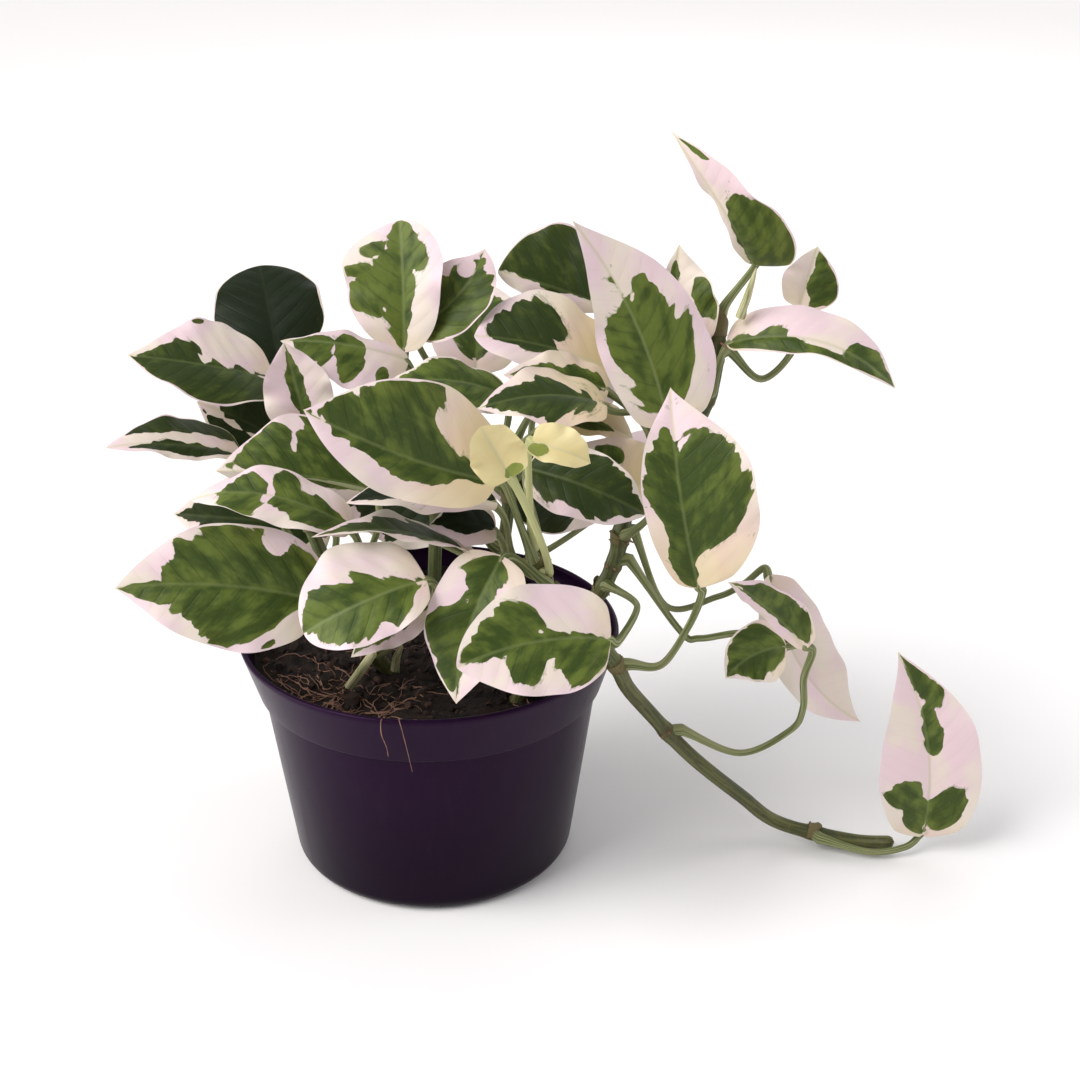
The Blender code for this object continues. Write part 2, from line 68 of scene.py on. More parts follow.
def add_light(name, kind, place, power, **settings):
    """A light at a place, turned towards the plant."""
    data = bpy.data.lights.new(name, kind)
    data.energy = power
    for setting, value in settings.items():
        setattr(data, setting, value)
    made = bpy.data.objects.new(name, data)
    made.location = place
    made.rotation_euler = (VIEW_TARGET - Vector(place)).to_track_quat("-Z", "Y").to_euler()
    bpy.context.collection.objects.link(made)


add_light("key", "SUN", (-0.9, -0.5, 1.15), 2.4, angle=math.radians(40), color=(1.0, 0.985, 0.97))
add_light("left_box", "AREA", (-1.0, -0.1, 0.30), 5.0, shape="DISK", size=0.7, color=(1.0, 0.96, 0.98))
add_light("right_box", "AREA", (1.0, 0.1, 0.45), 3.0, shape="DISK", size=0.7, color=(0.95, 0.95, 1.0))
add_light("rear_box", "AREA", (0.2, 1.1, 0.8), 2.0, shape="DISK", size=0.8)

world = bpy.data.worlds.new("studio")
world.use_nodes = True
world.node_tree.nodes["Background"].inputs["Color"].default_value = (1.0, 0.985, 0.985, 1)
world.node_tree.nodes["Background"].inputs["Strength"].default_value = 0.46
bpy.context.scene.world = world


class Link:
    """A number or a colour on a surface. Arithmetic on it adds Math nodes to the finish it is part of."""

    def __init__(self, finish, socket):
        self.finish = finish
        self.socket = socket

    def math(self, operation, *others):
        inputs = dict(enumerate((self,) + others))
        return self.finish.node("Math", {"operation": operation}, inputs)

    def __add__(self, other):
        return self.math("ADD", other)

    __radd__ = __add__

    def __mul__(self, other):
        return self.math("MULTIPLY", other)

    def __sub__(self, other):
        return self.math("SUBTRACT", other)

    def __rsub__(self, other):
        return self * -1 + other

    def __truediv__(self, other):
        return self.math("DIVIDE", other)

    def __abs__(self):
        return self.math("ABSOLUTE")

    def parts(self):
        """The three numbers of a vector."""
        return [self.finish.node("SeparateXYZ", {}, {0: self}, output) for output in range(3)]


class Finish:
    """A material with one Principled surface, built up from nodes."""

    def __init__(self, name, **constants):
        self.material = bpy.data.materials.new(name)
        self.material.use_nodes = True
        self.tree = self.material.node_tree
        self.surface = self.tree.nodes["Principled BSDF"]
        self.set(**constants)

    def node(self, kind, settings=(), inputs=(), output=0):
        """Adds a node: first its settings, then the values and links of its sockets. Gives one output."""
        made = self.tree.nodes.new("ShaderNode" + kind)
        for setting, value in dict(settings).items():
            setattr(made, setting, value)
        self.fill(made, inputs)
        return Link(self, made.outputs[output])

    def fill(self, node, inputs):
        for key, value in dict(inputs).items():
            if isinstance(value, Link):
                self.tree.links.new(value.socket, node.inputs[key])
            else:
                node.inputs[key].default_value = value

    def set(self, **values):
        """Sets or links sockets of the surface: base_color stands for Base Color."""
        names = {key: key.replace("_", " ").title().replace("Ior", "IOR") for key in values}
        self.fill(self.surface, {names[key]: value for key, value in values.items()})

    def place(self):
        """Object coordinates in millimetres."""
        spot = self.node("TexCoord", output="Object")
        return self.node("VectorMath", {"operation": "SCALE"}, {0: spot, "Scale": 1000.0})

    def attribute(self, name):
        return self.node("Attribute", {"attribute_name": name}, output="Vector")

    def noise(self, place, scale=1.0, detail=2.0, roughness=0.5):
        """Cloudy noise, about 0.5 on average, at a vector or at three numbers."""
        vector = self.node("CombineXYZ", {}, dict(enumerate(place))) if isinstance(place, tuple) else place
        inputs = {"Vector": vector, "Scale": scale, "Detail": detail, "Roughness": roughness}
        return self.node("TexNoise", {}, inputs)

    def step(self, value, low, high):
        """0 below low, 1 above high, and a smooth rise between them."""
        inputs = {"Value": value, "From Min": low, "From Max": high}
        return self.node("MapRange", {"interpolation_type": "SMOOTHSTEP"}, inputs)

    def mix(self, factor, first, second):
        """A colour that goes from the first to the second as the factor goes from 0 to 1."""
        first, second = ((*c, 1.0) if isinstance(c, tuple) else c for c in (first, second))
        return self.node("Mix", {"data_type": "RGBA"}, {0: factor, 6: first, 7: second}, 2)

    def bump(self, height, distance, strength=1.0):
        """Relief of the given depth in millimetres where the height goes from 0 to 1."""
        inputs = {"Height": height, "Distance": distance * MM, "Strength": strength}
        self.set(normal=self.node("Bump", {}, inputs))


def mesh_object(name, points, faces, finish):
    """An object with one mesh, from points in metres and faces."""
    mesh = bpy.data.meshes.new(name)
    mesh.from_pydata(points.tolist(), [], faces)
    mesh.materials.append(finish.material)
    made = bpy.data.objects.new(name, mesh)
    bpy.context.collection.objects.link(made)
    return made


def full_turn(count):
    """Angles at even steps once round."""
    return np.linspace(0, 2 * math.pi, count, endpoint=False)


STAGE_RADIUS = 5.0
STAGE_SIDES = 96
WALL_TOP = 4.0
turn = full_turn(STAGE_SIDES)
stage_rim = np.stack([np.cos(turn), np.sin(turn), 0 * turn], axis=-1) * STAGE_RADIUS
paper = Finish("floor_paper", roughness=0.9, specular_ior_level=0.1)
paper_grain = paper.noise(paper.place(), 0.02, 3.0)
paper.set(base_color=paper.mix(paper_grain, (0.94, 0.93, 0.93), (0.95, 0.94, 0.94)))
floor = mesh_object("floor", stage_rim, [list(range(STAGE_SIDES))], paper)

# The backdrop is a pale wall round the floor that only the camera sees, so that it adds no light.
wall_points = np.vstack([stage_rim, stage_rim + (0, 0, WALL_TOP)])
foot = np.arange(STAGE_SIDES)
next_foot = np.roll(foot, -1)
wall_faces = np.stack([foot, next_foot, next_foot + STAGE_SIDES, foot + STAGE_SIDES], axis=-1).tolist()
wall_paint = Finish("backdrop", base_color=(0.0, 0.0, 0.0, 1.0), emission_strength=1.0)
wall_paint.set(emission_color=(0.93, 0.925, 0.925, 1.0))
backdrop = mesh_object("backdrop", wall_points, wall_faces, wall_paint)
backdrop.visible_diffuse = False
backdrop.visible_glossy = False
backdrop.visible_shadow = False


# Pot: one thin injection-moulded wall of dark purple-black plastic, with a flared band and a rounded
# lip at its top, drain holes through its floor and notches between its feet.

LIP_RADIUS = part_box("pot")[1].x / MM
POT_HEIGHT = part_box("pot")[1].z / MM
BAND_FOOT = POT_HEIGHT - 17
BAND_FOOT_RADIUS = 54.5
BODY_TOP_RADIUS = 53.2
BODY_BASE_RADIUS = 45.3
POT_WALL = 1.5
POT_FLOOR = 2.5
POT_CORNER = 5.0
LIP_ROUND = 0.9
INNER_FOOT = (BODY_BASE_RADIUS - POT_WALL - 1, POT_FLOOR)
INNER_STEP = (BODY_TOP_RADIUS - POT_WALL, BAND_FOOT - 1)
INNER_BAND_FOOT = (BAND_FOOT_RADIUS - POT_WALL, BAND_FOOT + 0.5)
INNER_BAND_TOP = (LIP_RADIUS - 2 * LIP_ROUND, POT_HEIGHT - 3)
NOTCH_WIDTH = 17.0
NOTCH_HEIGHT = 2.0
NOTCH_INNER_RADIUS = 37.3
NOTCH_ANGLES = np.radians(-96 + 90 * np.arange(4))
NOTCH_SLOPE = 0.8
DRAIN_HOLES = 6
DRAIN_RADIUS = 4.0
DRAIN_CIRCLE = 27.0
POT_SIDES = 288
BASE_RINGS = 60


def closed_loft(rings):
    """Points and faces of a body whose rings, an array of ring by point by axis, are joined in turn.
    Each end closes with a fan to the middle of its ring."""
    count, sides = rings.shape[:2]
    points = np.vstack([rings.reshape(-1, 3), rings[0].mean(0), rings[-1].mean(0)])
    index = np.arange(count * sides).reshape(count, sides)
    after = np.roll(index, -1, axis=1)
    quads = np.stack([index[:-1], after[:-1], after[1:], index[1:]], axis=-1).reshape(-1, 4)
    first = np.stack([np.full(sides, count * sides), after[0], index[0]], axis=-1)
    last = np.stack([np.full(sides, count * sides + 1), index[-1], after[-1]], axis=-1)
    return points, quads.tolist() + first.tolist() + last.tolist()


def new_piece(name, bodies, finish, stands_for=None, values=(), sharp=60):
    """One piece of the plant from closed bodies, a list of points in millimetres and faces. values
    holds vectors at every point, by name, for the finish to read."""
    starts = np.cumsum([0] + [len(points) for points, _ in bodies])
    faces = [[k + start for k in face] for start, (_, group) in zip(starts, bodies) for face in group]
    made = mesh_object(name, np.vstack([points for points, _ in bodies]) * MM, faces, finish)
    for label, vectors in dict(values).items():
        store = made.data.attributes.new(label, "FLOAT_VECTOR", "POINT")
        store.data.foreach_set("vector", np.asarray(vectors, np.float32).ravel())
    made.data.shade_smooth()
    made.data.set_sharp_from_angle(angle=math.radians(sharp))
    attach(made, "root")
    if stands_for:
        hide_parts(stands_for)
    return made


def arc(centre, radius, start, end, count):
    """Points on an arc round a centre, in a plane of radius and height, between two angles in degrees."""
    turn = np.radians(np.linspace(start, end, count))
    return np.stack([centre[0] + radius * np.cos(turn), centre[1] + radius * np.sin(turn)], axis=-1)


def run(start, end, count):
    """Points on a straight run, without its ends."""
    share = np.linspace(0, 1, count + 2)[1:-1, None]
    return np.array(start) * (1 - share) + np.array(end) * share


def turned(profile, sides):
    """Rings round the Z axis, one for each point of radius and height in the profile."""
    turn = full_turn(sides)
    radius, height = np.asarray(profile, float).T[:, :, None]
    return np.stack([radius * np.cos(turn), radius * np.sin(turn), height + 0 * turn], axis=-1)


def pot_profile():
    """The wall's outline, from under the middle of the floor, up the outside, over the lip and down
    the inside to the middle of the floor: straight runs with round corners between them."""
    lip = arc((LIP_RADIUS - LIP_ROUND, POT_HEIGHT - LIP_ROUND), LIP_ROUND, 0, 180, 13)
    band_edge = arc((BAND_FOOT_RADIUS - 0.1, BAND_FOOT + 0.7), 0.7, -90, -10, 6)
    base = arc((BODY_BASE_RADIUS - POT_CORNER, POT_CORNER), POT_CORNER, -90, -5, 12)
    crease = arc((BODY_TOP_RADIUS + 0.5, BAND_FOOT - 0.9), 0.5, 180, 95, 5)
    pieces = [
        run((0, 0), base[0], 14),
        base,
        run(base[-1], crease[0], 30),
        crease,
        band_edge,
        run(band_edge[-1], lip[0], 12),
        lip,
        run(lip[-1], INNER_BAND_TOP, 2),
        run(INNER_BAND_TOP, INNER_BAND_FOOT, 8),
        [INNER_STEP],
        run(INNER_STEP, INNER_FOOT, 16),
        run(INNER_FOOT, (0, POT_FLOOR), 10),
    ]
    return np.vstack(pieces)


def notched(rings):
    """Lifts the outside's first rings, which hold the underside, to the notch's height inside each
    notch: a straight channel that runs outwards from its inner radius, with a short slope at its sides."""
    x, y, z = np.moveaxis(rings, -1, 0)
    lift = np.zeros_like(z)
    for angle in NOTCH_ANGLES:
        out = x * math.cos(angle) + y * math.sin(angle)
        off = abs(y * math.cos(angle) - x * math.sin(angle))
        within_width = np.clip((NOTCH_WIDTH / 2 - off) / NOTCH_SLOPE, 0, 1)
        past_inner = np.clip((out - NOTCH_INNER_RADIUS) / NOTCH_SLOPE, 0, 1)
        lift = np.maximum(lift, within_width * past_inner * NOTCH_HEIGHT)
    outside = np.arange(len(rings))[:, None] < BASE_RINGS
    lifted = np.where(outside, np.maximum(z, lift * (z < NOTCH_HEIGHT)), z)
    return np.stack([x, y, lifted], axis=-1)


def drilled(pot):
    """Cuts the ring of drain holes out of the floor."""
    cutter_mesh = bpy.data.meshes.new("drills")
    model = bmesh.new()
    size = {"radius1": DRAIN_RADIUS * MM, "radius2": DRAIN_RADIUS * MM, "depth": 20 * MM}
    for k in range(DRAIN_HOLES):
        angle = math.radians(30 + 60 * k)
        drill = bmesh.ops.create_cone(model, cap_ends=True, segments=32, **size)
        spot = Vector((math.cos(angle), math.sin(angle), 0)) * DRAIN_CIRCLE * MM
        bmesh.ops.translate(model, verts=drill["verts"], vec=spot)
    model.to_mesh(cutter_mesh)
    model.free()
    cutter = bpy.data.objects.new("drills", cutter_mesh)
    bpy.context.collection.objects.link(cutter)
    cut = pot.modifiers.new("drills", "BOOLEAN")
    cut.operation = "DIFFERENCE"
    cut.object = cutter
    shown = bpy.data.meshes.new_from_object(pot.evaluated_get(bpy.context.evaluated_depsgraph_get()))
    pot.modifiers.clear()
    pot.data = shown
    bpy.data.objects.remove(cutter)


pot_plastic = Finish("pot_plastic", specular_ior_level=0.1, specular_tint=(0.95, 0.6, 1.0, 1.0))
spot = pot_plastic.place()
across, deep, height = spot.parts()
clouds = pot_plastic.noise(spot, 0.035, 3.0)
grain = pot_plastic.noise(spot, 2.4, 3.0, 0.6)
drip = pot_plastic.noise((across * 0.22, deep * 0.22, height * 0.025), 1.0, 4.0, 0.6)
scuffs = pot_plastic.noise((across * 0.5, deep * 0.5, height * 2.2), 0.7, 5.0, 0.7)
speck = pot_plastic.noise(spot, 0.9, 4.0, 0.75)
dust = pot_plastic.step(speck, 0.60, 0.74) * 0.35 + pot_plastic.step(drip, 0.52, 0.8) * 0.3
scratch = pot_plastic.step(scuffs, 0.62, 0.72)
purple = pot_plastic.mix(clouds, (0.011, 0.003, 0.015), (0.016, 0.005, 0.022))
# Painted shade: below 85 mm the purple darkens towards the base, where it is almost black.
foot_painted_shade = pot_plastic.step(height, -20, 85)
purple = pot_plastic.mix(foot_painted_shade, (0.003, 0.001, 0.0045), purple)
dusty = pot_plastic.mix(dust * 0.12, purple, (0.10, 0.06, 0.09))
pot_plastic.set(base_color=pot_plastic.mix(scratch * 0.06, dusty, (0.12, 0.08, 0.13)))
pot_plastic.set(roughness=0.30 + dust * 0.25 + scratch * 0.10 + (grain - 0.5) * 0.12)
pot_plastic.bump(grain * 0.6 + clouds * 0.5 - scratch * 0.2, 0.12, 0.35)

pot_rings = notched(turned(pot_profile(), POT_SIDES))
pot = new_piece("nursery_pot", [closed_loft(pot_rings)], pot_plastic, "pot", sharp=35)
drilled(pot)


# Soil: dark damp potting mix that fills the pot to a little under its lip. Its top is uneven, with
# crumbs of bark and peat lying on it and a mat of fine roots at the front left.

SOIL_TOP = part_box("soil")[1].z / MM
SOIL_GAP = 0.35
TOP_RINGS = 76
LUMP_WAVES = 24


def lumps(x, y, size, seed):
    """Uneven ground, mostly between -1 and 1: a scaled sum of sine waves that run in random directions,
    with wavelengths between half of size and twice size."""
    rng = np.random.default_rng(seed)
    total = np.zeros(np.broadcast(x, y).shape)
    headings = rng.uniform(0, 6.3, LUMP_WAVES)
    lengths = rng.uniform(0.5, 2, LUMP_WAVES)
    shifts = rng.uniform(0, 6.3, LUMP_WAVES)
    for heading, length, shift in zip(headings, lengths, shifts):
        distance = x * math.cos(heading) + y * math.sin(heading)
        total += np.sin(distance * 2 * math.pi / (length * size) + shift)
    return total / math.sqrt(LUMP_WAVES / 2) / 2


def soil_height(x, y):
    """The top of the soil: low swells, lumps and grit, which rise a little against the wall."""
    radius = np.hypot(x, y)
    swell = 1.1 * lumps(x, y, 26, 1) + 0.8 * lumps(x, y, 8, 2) + 0.45 * lumps(x, y, 3, 3)
    return SOIL_TOP - 1.4 + swell + 1.6 * np.clip((radius - 44) / 12, 0, 1) ** 2


def inner_radius(height):
    """The radius of the pot's inside at a height."""
    radii, heights = zip(INNER_FOOT, INNER_STEP, INNER_BAND_FOOT, INNER_BAND_TOP)
    return np.interp(height, heights, radii)


def soil_rings():
    """The plug: up the wall from the middle of its underside, then over the uneven top to its middle."""
    side_heights = np.linspace(POT_FLOOR + SOIL_GAP, SOIL_TOP - 3, 12)
    wall = [(inner_radius(h) - SOIL_GAP, h) for h in side_heights]
    under = [(r, POT_FLOOR + SOIL_GAP) for r in (6, 20, 34)]
    top = [(r, SOIL_TOP) for r in np.linspace(inner_radius(SOIL_TOP) - SOIL_GAP, 0.6, TOP_RINGS)]
    rings = turned(under + wall + top, 220)
    on_top = rings[-TOP_RINGS:]
    on_top[..., 2] = soil_height(on_top[..., 0], on_top[..., 1])
    return rings


soil_mix = Finish("soil_mix", specular_ior_level=0.25)
spot = soil_mix.place()
patches = soil_mix.noise(spot, 0.16, 4.0, 0.6)
grit = soil_mix.noise(spot, 1.3, 5.0, 0.7)
fleck = soil_mix.step(soil_mix.noise(spot, 0.8, 3.0, 0.7), 0.62, 0.68)
earth = soil_mix.mix(soil_mix.step(patches, 0.35, 0.65), (0.006, 0.0045, 0.0045), (0.026, 0.016, 0.012))
earth = soil_mix.mix(soil_mix.step(grit, 0.5, 0.72) * 0.5, earth, (0.046, 0.024, 0.018))
soil_mix.set(base_color=soil_mix.mix(fleck * 0.35, earth, (0.13, 0.07, 0.045)))
soil_mix.set(roughness=0.7 + grit * 0.3)
soil_mix.bump(grit + patches * 1.2, 0.9)
new_piece("potting_mix", [closed_loft(soil_rings())], soil_mix, "soil", sharp=180)


def crumbs(count, seed):
    """Crumbs on the soil: copies of a twenty-sided solid, each stretched, turned and made uneven."""
    rng = np.random.default_rng(seed)
    model = bmesh.new()
    bmesh.ops.create_icosphere(model, subdivisions=1, radius=1)
    model.verts.index_update()
    solid = np.array([v.co for v in model.verts])
    faces = [[v.index for v in face.verts] for face in model.faces]
    model.free()
    radius = 52 * np.sqrt(rng.uniform(0, 1, count))
    turn = rng.uniform(0, 2 * math.pi, count)
    size = rng.lognormal(math.log(0.8), 0.45, (count, 1, 1)).clip(0.35, 2.4)
    stretch = rng.uniform(0.5, 1.3, (count, 1, 3)) * rng.uniform(0.8, 1.2, (count, len(solid), 1))
    x, y = radius * np.cos(turn), radius * np.sin(turn)
    middle = np.stack([x, y, soil_height(x, y) + 0.25 * size[:, 0, 0]], axis=-1)
    twist, _ = np.linalg.qr(rng.normal(size=(count, 3, 3)))
    twist *= np.sign(np.linalg.det(twist))[:, None, None]
    shapes = (solid * size * stretch) @ twist + middle[:, None]
    tint = np.repeat(rng.uniform(0, 1, (count, 1)), len(solid), axis=1)
    return [(shape, faces) for shape in shapes], np.stack([tint.ravel()] * 3, axis=-1)


bark = Finish("bark_crumbs", specular_ior_level=0.3)
shade, _, _ = bark.attribute("shade").parts()
grit = bark.noise(bark.place(), 1.6, 4.0, 0.7)
brown = bark.mix(bark.step(shade, 0.55, 1.0), (0.008, 0.005, 0.004), (0.062, 0.030, 0.020))
bark.set(base_color=bark.mix(grit * 0.5, brown, (0.05, 0.03, 0.022)), roughness=0.65 + grit * 0.3)
bark.bump(grit, 0.5)
crumb_bodies, crumb_shades = crumbs(900, 5)
new_piece("soil_crumbs", crumb_bodies, bark, values={"shade": crumb_shades}, sharp=30)


def unit(vectors):
    """Vectors divided by their own lengths."""
    vectors = np.asarray(vectors, float)
    return vectors / np.linalg.norm(vectors, axis=-1, keepdims=True)


def smooth_curve(route, steps):
    """Points along a Catmull-Rom curve, with the given number of steps between two route points."""
    route = np.array(route, float)
    route = np.vstack([2 * route[0] - route[1], route, 2 * route[-1] - route[-2]])
    a, b, c, d = (route[k : len(route) - 3 + k, None] for k in range(4))
    t = np.linspace(0, 1, steps, endpoint=False)[None, :, None]
    cube = (3 * b - a - 3 * c + d) * t**3
    curve = 0.5 * (2 * b + (c - a) * t + (2 * a - 5 * b + 4 * c - d) * t**2 + cube)
    return np.vstack([curve.reshape(-1, 3), route[-2]])


def carried_sides(ahead, side):
    """The way to the side at each point of a path, carried along it from its last point back to its
    first without turning round it."""
    sides = []
    for way in ahead[::-1]:
        side = unit(side - way * (side @ way))
        sides.append(side)
    return np.array(sides[::-1])


def swollen(line, rings, factor):
    """Rings round a path whose points stand nearer to it or further from it, each by its factor."""
    return line[:, None] + (rings - line[:, None]) * factor[..., None]


def tube_rings(line, radii, count, last_side=(1.0, 0.0, 0.0), flat=1.0):
    """Rings round a path: a round section of the given radius at each point, flattened by the factor
    flat in the direction at right angles to its side."""
    ahead = unit(np.gradient(line, axis=0))
    side = carried_sides(ahead, np.array(last_side))
    up = np.cross(ahead, side)
    turn = full_turn(count)
    spokes = np.cos(turn)[:, None] * side[:, None] + flat * np.sin(turn)[:, None] * up[:, None]
    return line[:, None] + np.asarray(radii, float).reshape(-1, 1, 1) * spokes


def fibre_route(rng, start, length, hug):
    """A thin root's path over the soil: it wanders as its heading drifts, and stays just above it."""
    steps = 16
    heading = rng.uniform(0, 2 * math.pi) + np.cumsum(rng.normal(0, 0.28, steps))
    way = np.stack([np.cos(heading), np.sin(heading)], axis=-1) * length / steps
    flat = np.array(start) + np.cumsum(way, axis=0)
    distance = np.hypot(*flat.T)
    flat *= np.minimum(1, 53.5 / distance)[:, None]
    above = hug + 0.7 * np.sin(np.linspace(0, math.pi, steps)) * rng.uniform(0, 1)
    return np.column_stack([flat, soil_height(*flat.T) + above])


def root_mat(count, seed):
    """Fine roots, most of them at the front left, each a tapering tube."""
    rng = np.random.default_rng(seed)
    bodies = []
    for k in range(count):
        near = rng.normal((-26, -36), (11, 7)) if k % 4 else rng.uniform(-38, 38, 2)
        line = fibre_route(rng, near, rng.uniform(8, 26), 0.15)
        thick = rng.uniform(0.10, 0.26)
        bodies.append(closed_loft(tube_rings(line, thick * np.linspace(1, 0.4, len(line)), 6)))
    return bodies


root_skin = Finish("root_skin", specular_ior_level=0.3, roughness=0.7)
root_tone = root_skin.noise(root_skin.place(), 0.35, 3.0)
root_skin.set(base_color=root_skin.mix(root_tone, (0.10, 0.045, 0.030), (0.42, 0.24, 0.17)))
root_skin.bump(root_skin.noise(root_skin.place(), 3.0), 0.1)
new_piece("surface_roots", root_mat(120, 11), root_skin)

# Two loose roots hang over the lip at the front and down the outside of the band.

HANGING_ROOTS = [
    (0.17, [
        (-10, -52.5, 71), (-10.8, -59.8, 78.6), (-10.7, -63.4, 76), (-9.5, -61.2, 70), (-9.3, -59.5, 66),
    ]),
    (0.15, [
        (-4.1, -51.5, 70.5), (-5.7, -59.9, 79), (-4.6, -63.2, 76.5), (-3.4, -61.1, 68), (-2.5, -58.3, 60),
    ]),
]
hairs = [
    closed_loft(tube_rings(smooth_curve(route, 8), np.linspace(radius, radius / 2, 33), 6))
    for radius, route in HANGING_ROOTS
]
new_piece("hanging_roots", hairs, root_skin)


# Vines: living stems, 4 to 5 mm thick, that come out of the soil. Each has a swollen node where every
# leaf stalk leaves it, with a brown scar ring, a dry sheath and stubs of aerial root beside it.

VINES = {
    "vine_trailing": (2.4, [
        (34, -26, 73), (51, -29, 86), (58, -26, 78), (62, -22, 68), (69, -18, 57), (83, -13, 38),
        (100, -10, 21), (114, -5, 7), (137, -9, 3), (151, -12, 4),
    ], (0.2, 0.42, 0.84)),
    "vine_tall": (2.4, [
        (44, -4, 73), (51, -3, 86), (58, -1, 100), (62, 2, 117), (70, 6, 132), (82, 8, 143),
        (88, 12, 156), (89, 16, 171),
    ], (0.2, 0.28, 0.35, 0.36, 0.45, 0.6, 0.68, 0.72, 0.75, 0.82, 0.93, 0.98, 1)),
    "vine_centre": (2.2, [
        (26, -16, 73), (37, -26, 100), (33, -34, 121),
    ], (0.42, 0.76, 0.82, 0.92, 0.95, 1)),
    "vine_front": (2.2, [(30, -32, 73), (43, -36, 102), (38, -42, 113)], (0.2, 0.6, 1)),
    "vine_left": (2.3, [(-14, -16, 73), (-22, -24, 88), (-26, -22, 104)], (0.15, 0.35, 0.7, 0.95)),
    "vine_far_left": (2.2, [
        (-24, 10, 73), (-36, 14, 100), (-44, 18, 128),
    ], (0.3, 0.4, 0.62, 0.72, 0.95, 1)),
    "vine_back": (2.2, [(0, 20, 73), (2, 26, 110), (6, 24, 140)], (0.5, 0.55, 0.7, 0.8, 0.9, 1)),
    "vine_rear": (2.2, [(20, 32, 73), (24, 40, 96), (26, 44, 118)], (0.15, 0.3, 0.7, 0.8, 0.95, 1)),
}
VINE_ROOTS = 7.0
VINE_SIDES = 20


def vine_line(name, steps=24):
    """The vine's centre line, which starts down in the soil."""
    route = VINES[name][1]
    first = np.array(route[0], float)
    below = first - unit(np.array(route[1]) - first) * VINE_ROOTS
    return smooth_curve(np.vstack([below, route]), steps)


def path_length(line):
    return np.linalg.norm(np.diff(line, axis=0), axis=1).sum()


def share_along(line):
    """How far along its own length each point of a path is, from 0 to 1."""
    reach = np.concatenate([[0.0], np.cumsum(np.linalg.norm(np.diff(line, axis=0), axis=1))])
    return reach / reach[-1]


def vine_place(name, share):
    """A vine's point, direction and radius at a share of its length above the soil."""
    radius, route, _ = VINES[name]
    line = smooth_curve(route, 12)
    reach = share_along(line)

    def at(where):
        return np.array([np.interp(where, reach, line[:, axis]) for axis in range(3)])

    direction = unit(at(min(share + 0.02, 1.0)) - at(max(share - 0.02, 0.0)))
    return at(share), direction, radius


def surface_values(*numbers):
    """Three numbers at every point of a closed loft: those of its rings, then of its two end points."""
    rings = np.stack(np.broadcast_arrays(*numbers), axis=-1)
    return np.vstack([rings.reshape(-1, 3), rings[0, 0], rings[-1, 0]])


def nearest(line, place):
    return int(np.argmin(np.linalg.norm(line - place, axis=1)))


def vine_body(name):
    """The stem's tube, with five low ridges: a little thinner towards its tip, swollen by a bell curve
    at each node, with a narrow raised ring there, and closed over at its end."""
    line = vine_line(name)
    reach = share_along(line)
    length = path_length(line)
    radius = VINES[name][0] * (1.04 - 0.14 * reach)
    scar = np.zeros_like(reach)
    for share in VINES[name][2]:
        away = (reach - reach[nearest(line, vine_place(name, share)[0])]) * length
        radius = radius + 0.42 * np.exp(-((away / 3.2) ** 2)) + 0.22 * np.exp(-(((away + 1.6) / 0.5) ** 2))
        scar = np.maximum(scar, np.exp(-(((away + 1.6) / 1.0) ** 2)))
    end = np.clip((1 - reach) * length / radius[-1], 0, 1)
    radius = radius * np.sqrt(1 - (1 - end) ** 2 * 0.98)
    turn = full_turn(VINE_SIDES)
    ridges = 1 + 0.03 * np.cos(5 * turn + reach[:, None] * 3)
    rings = swollen(line, tube_rings(line, radius, VINE_SIDES), ridges)
    stem = surface_values(reach[:, None] * length, np.cos(turn), np.sin(turn))
    return closed_loft(rings), {"stem": stem, "scar": surface_values(scar[:, None], 0 * turn, 0)}


def root_stub(place, way, length, radius):
    """A stub of aerial root: a short tapering tube that bends away from its stem."""
    share = np.linspace(0, 1, 8)[:, None]
    droop = np.array([0, 0, -0.25]) * length
    line = place + way * length * share + droop * share**2
    return closed_loft(tube_rings(line, radius * np.sqrt(1.02 - share[:, 0] ** 3), 8))


def dry_sheath(place, ahead, outward, radius, length):
    """The dry sheath that an old leaf leaves: a thin pointed shell round part of the stem, a surface
    over height and turn, given a thickness of a fifth of a millimetre."""
    height = np.linspace(0, 1, 12)[:, None]
    turn = np.linspace(-1, 1, 13)[None, :]
    other = np.cross(ahead, outward)
    angle = turn * 1.5 * (1 - height**2 * 0.8)
    away = radius * (1.06 + 0.35 * height**2)
    inner = (
        place
        + ahead * (height * length * (1 - 0.2 * turn**2))[..., None]
        + outward * (away * np.cos(angle))[..., None]
        + other * (away * np.sin(angle))[..., None]
    )
    outer = inner + 0.2 * unit(inner - place - ahead * ((inner - place) @ ahead)[..., None])
    return closed_loft(np.concatenate([outer, inner[:, ::-1]], axis=1))


vine_skin = Finish("vine_skin", specular_ior_level=0.4)
run_of, round_x, round_y = vine_skin.attribute("stem").parts()
scar_of = vine_skin.attribute("scar").parts()[0]
spot = vine_skin.place()
along_streaks = vine_skin.noise((run_of * 0.05, round_x * 2.2, round_y * 2.2), 1.0, 3.0, 0.6)
mottle = vine_skin.noise(spot, 0.5, 4.0, 0.6)
pores = vine_skin.step(vine_skin.noise(spot, 1.7, 2.0), 0.66, 0.72)
streaked = vine_skin.step(along_streaks, 0.4, 0.62)
stem_green = vine_skin.mix(streaked, (0.040, 0.055, 0.013), (0.120, 0.135, 0.038))
stem_green = vine_skin.mix(vine_skin.step(mottle, 0.5, 0.75) * 0.35, stem_green, (0.20, 0.22, 0.08))
stem_green = vine_skin.mix(pores * 0.4, stem_green, (0.33, 0.30, 0.17))
_, _, stem_height = spot.parts()
low = vine_skin.step(stem_height, 84.0, 68.0) * vine_skin.step(mottle, 0.3, 0.6)
vine_skin.set(base_color=vine_skin.mix(scar_of * 0.4 + low * 0.25, stem_green, (0.12, 0.075, 0.035)))
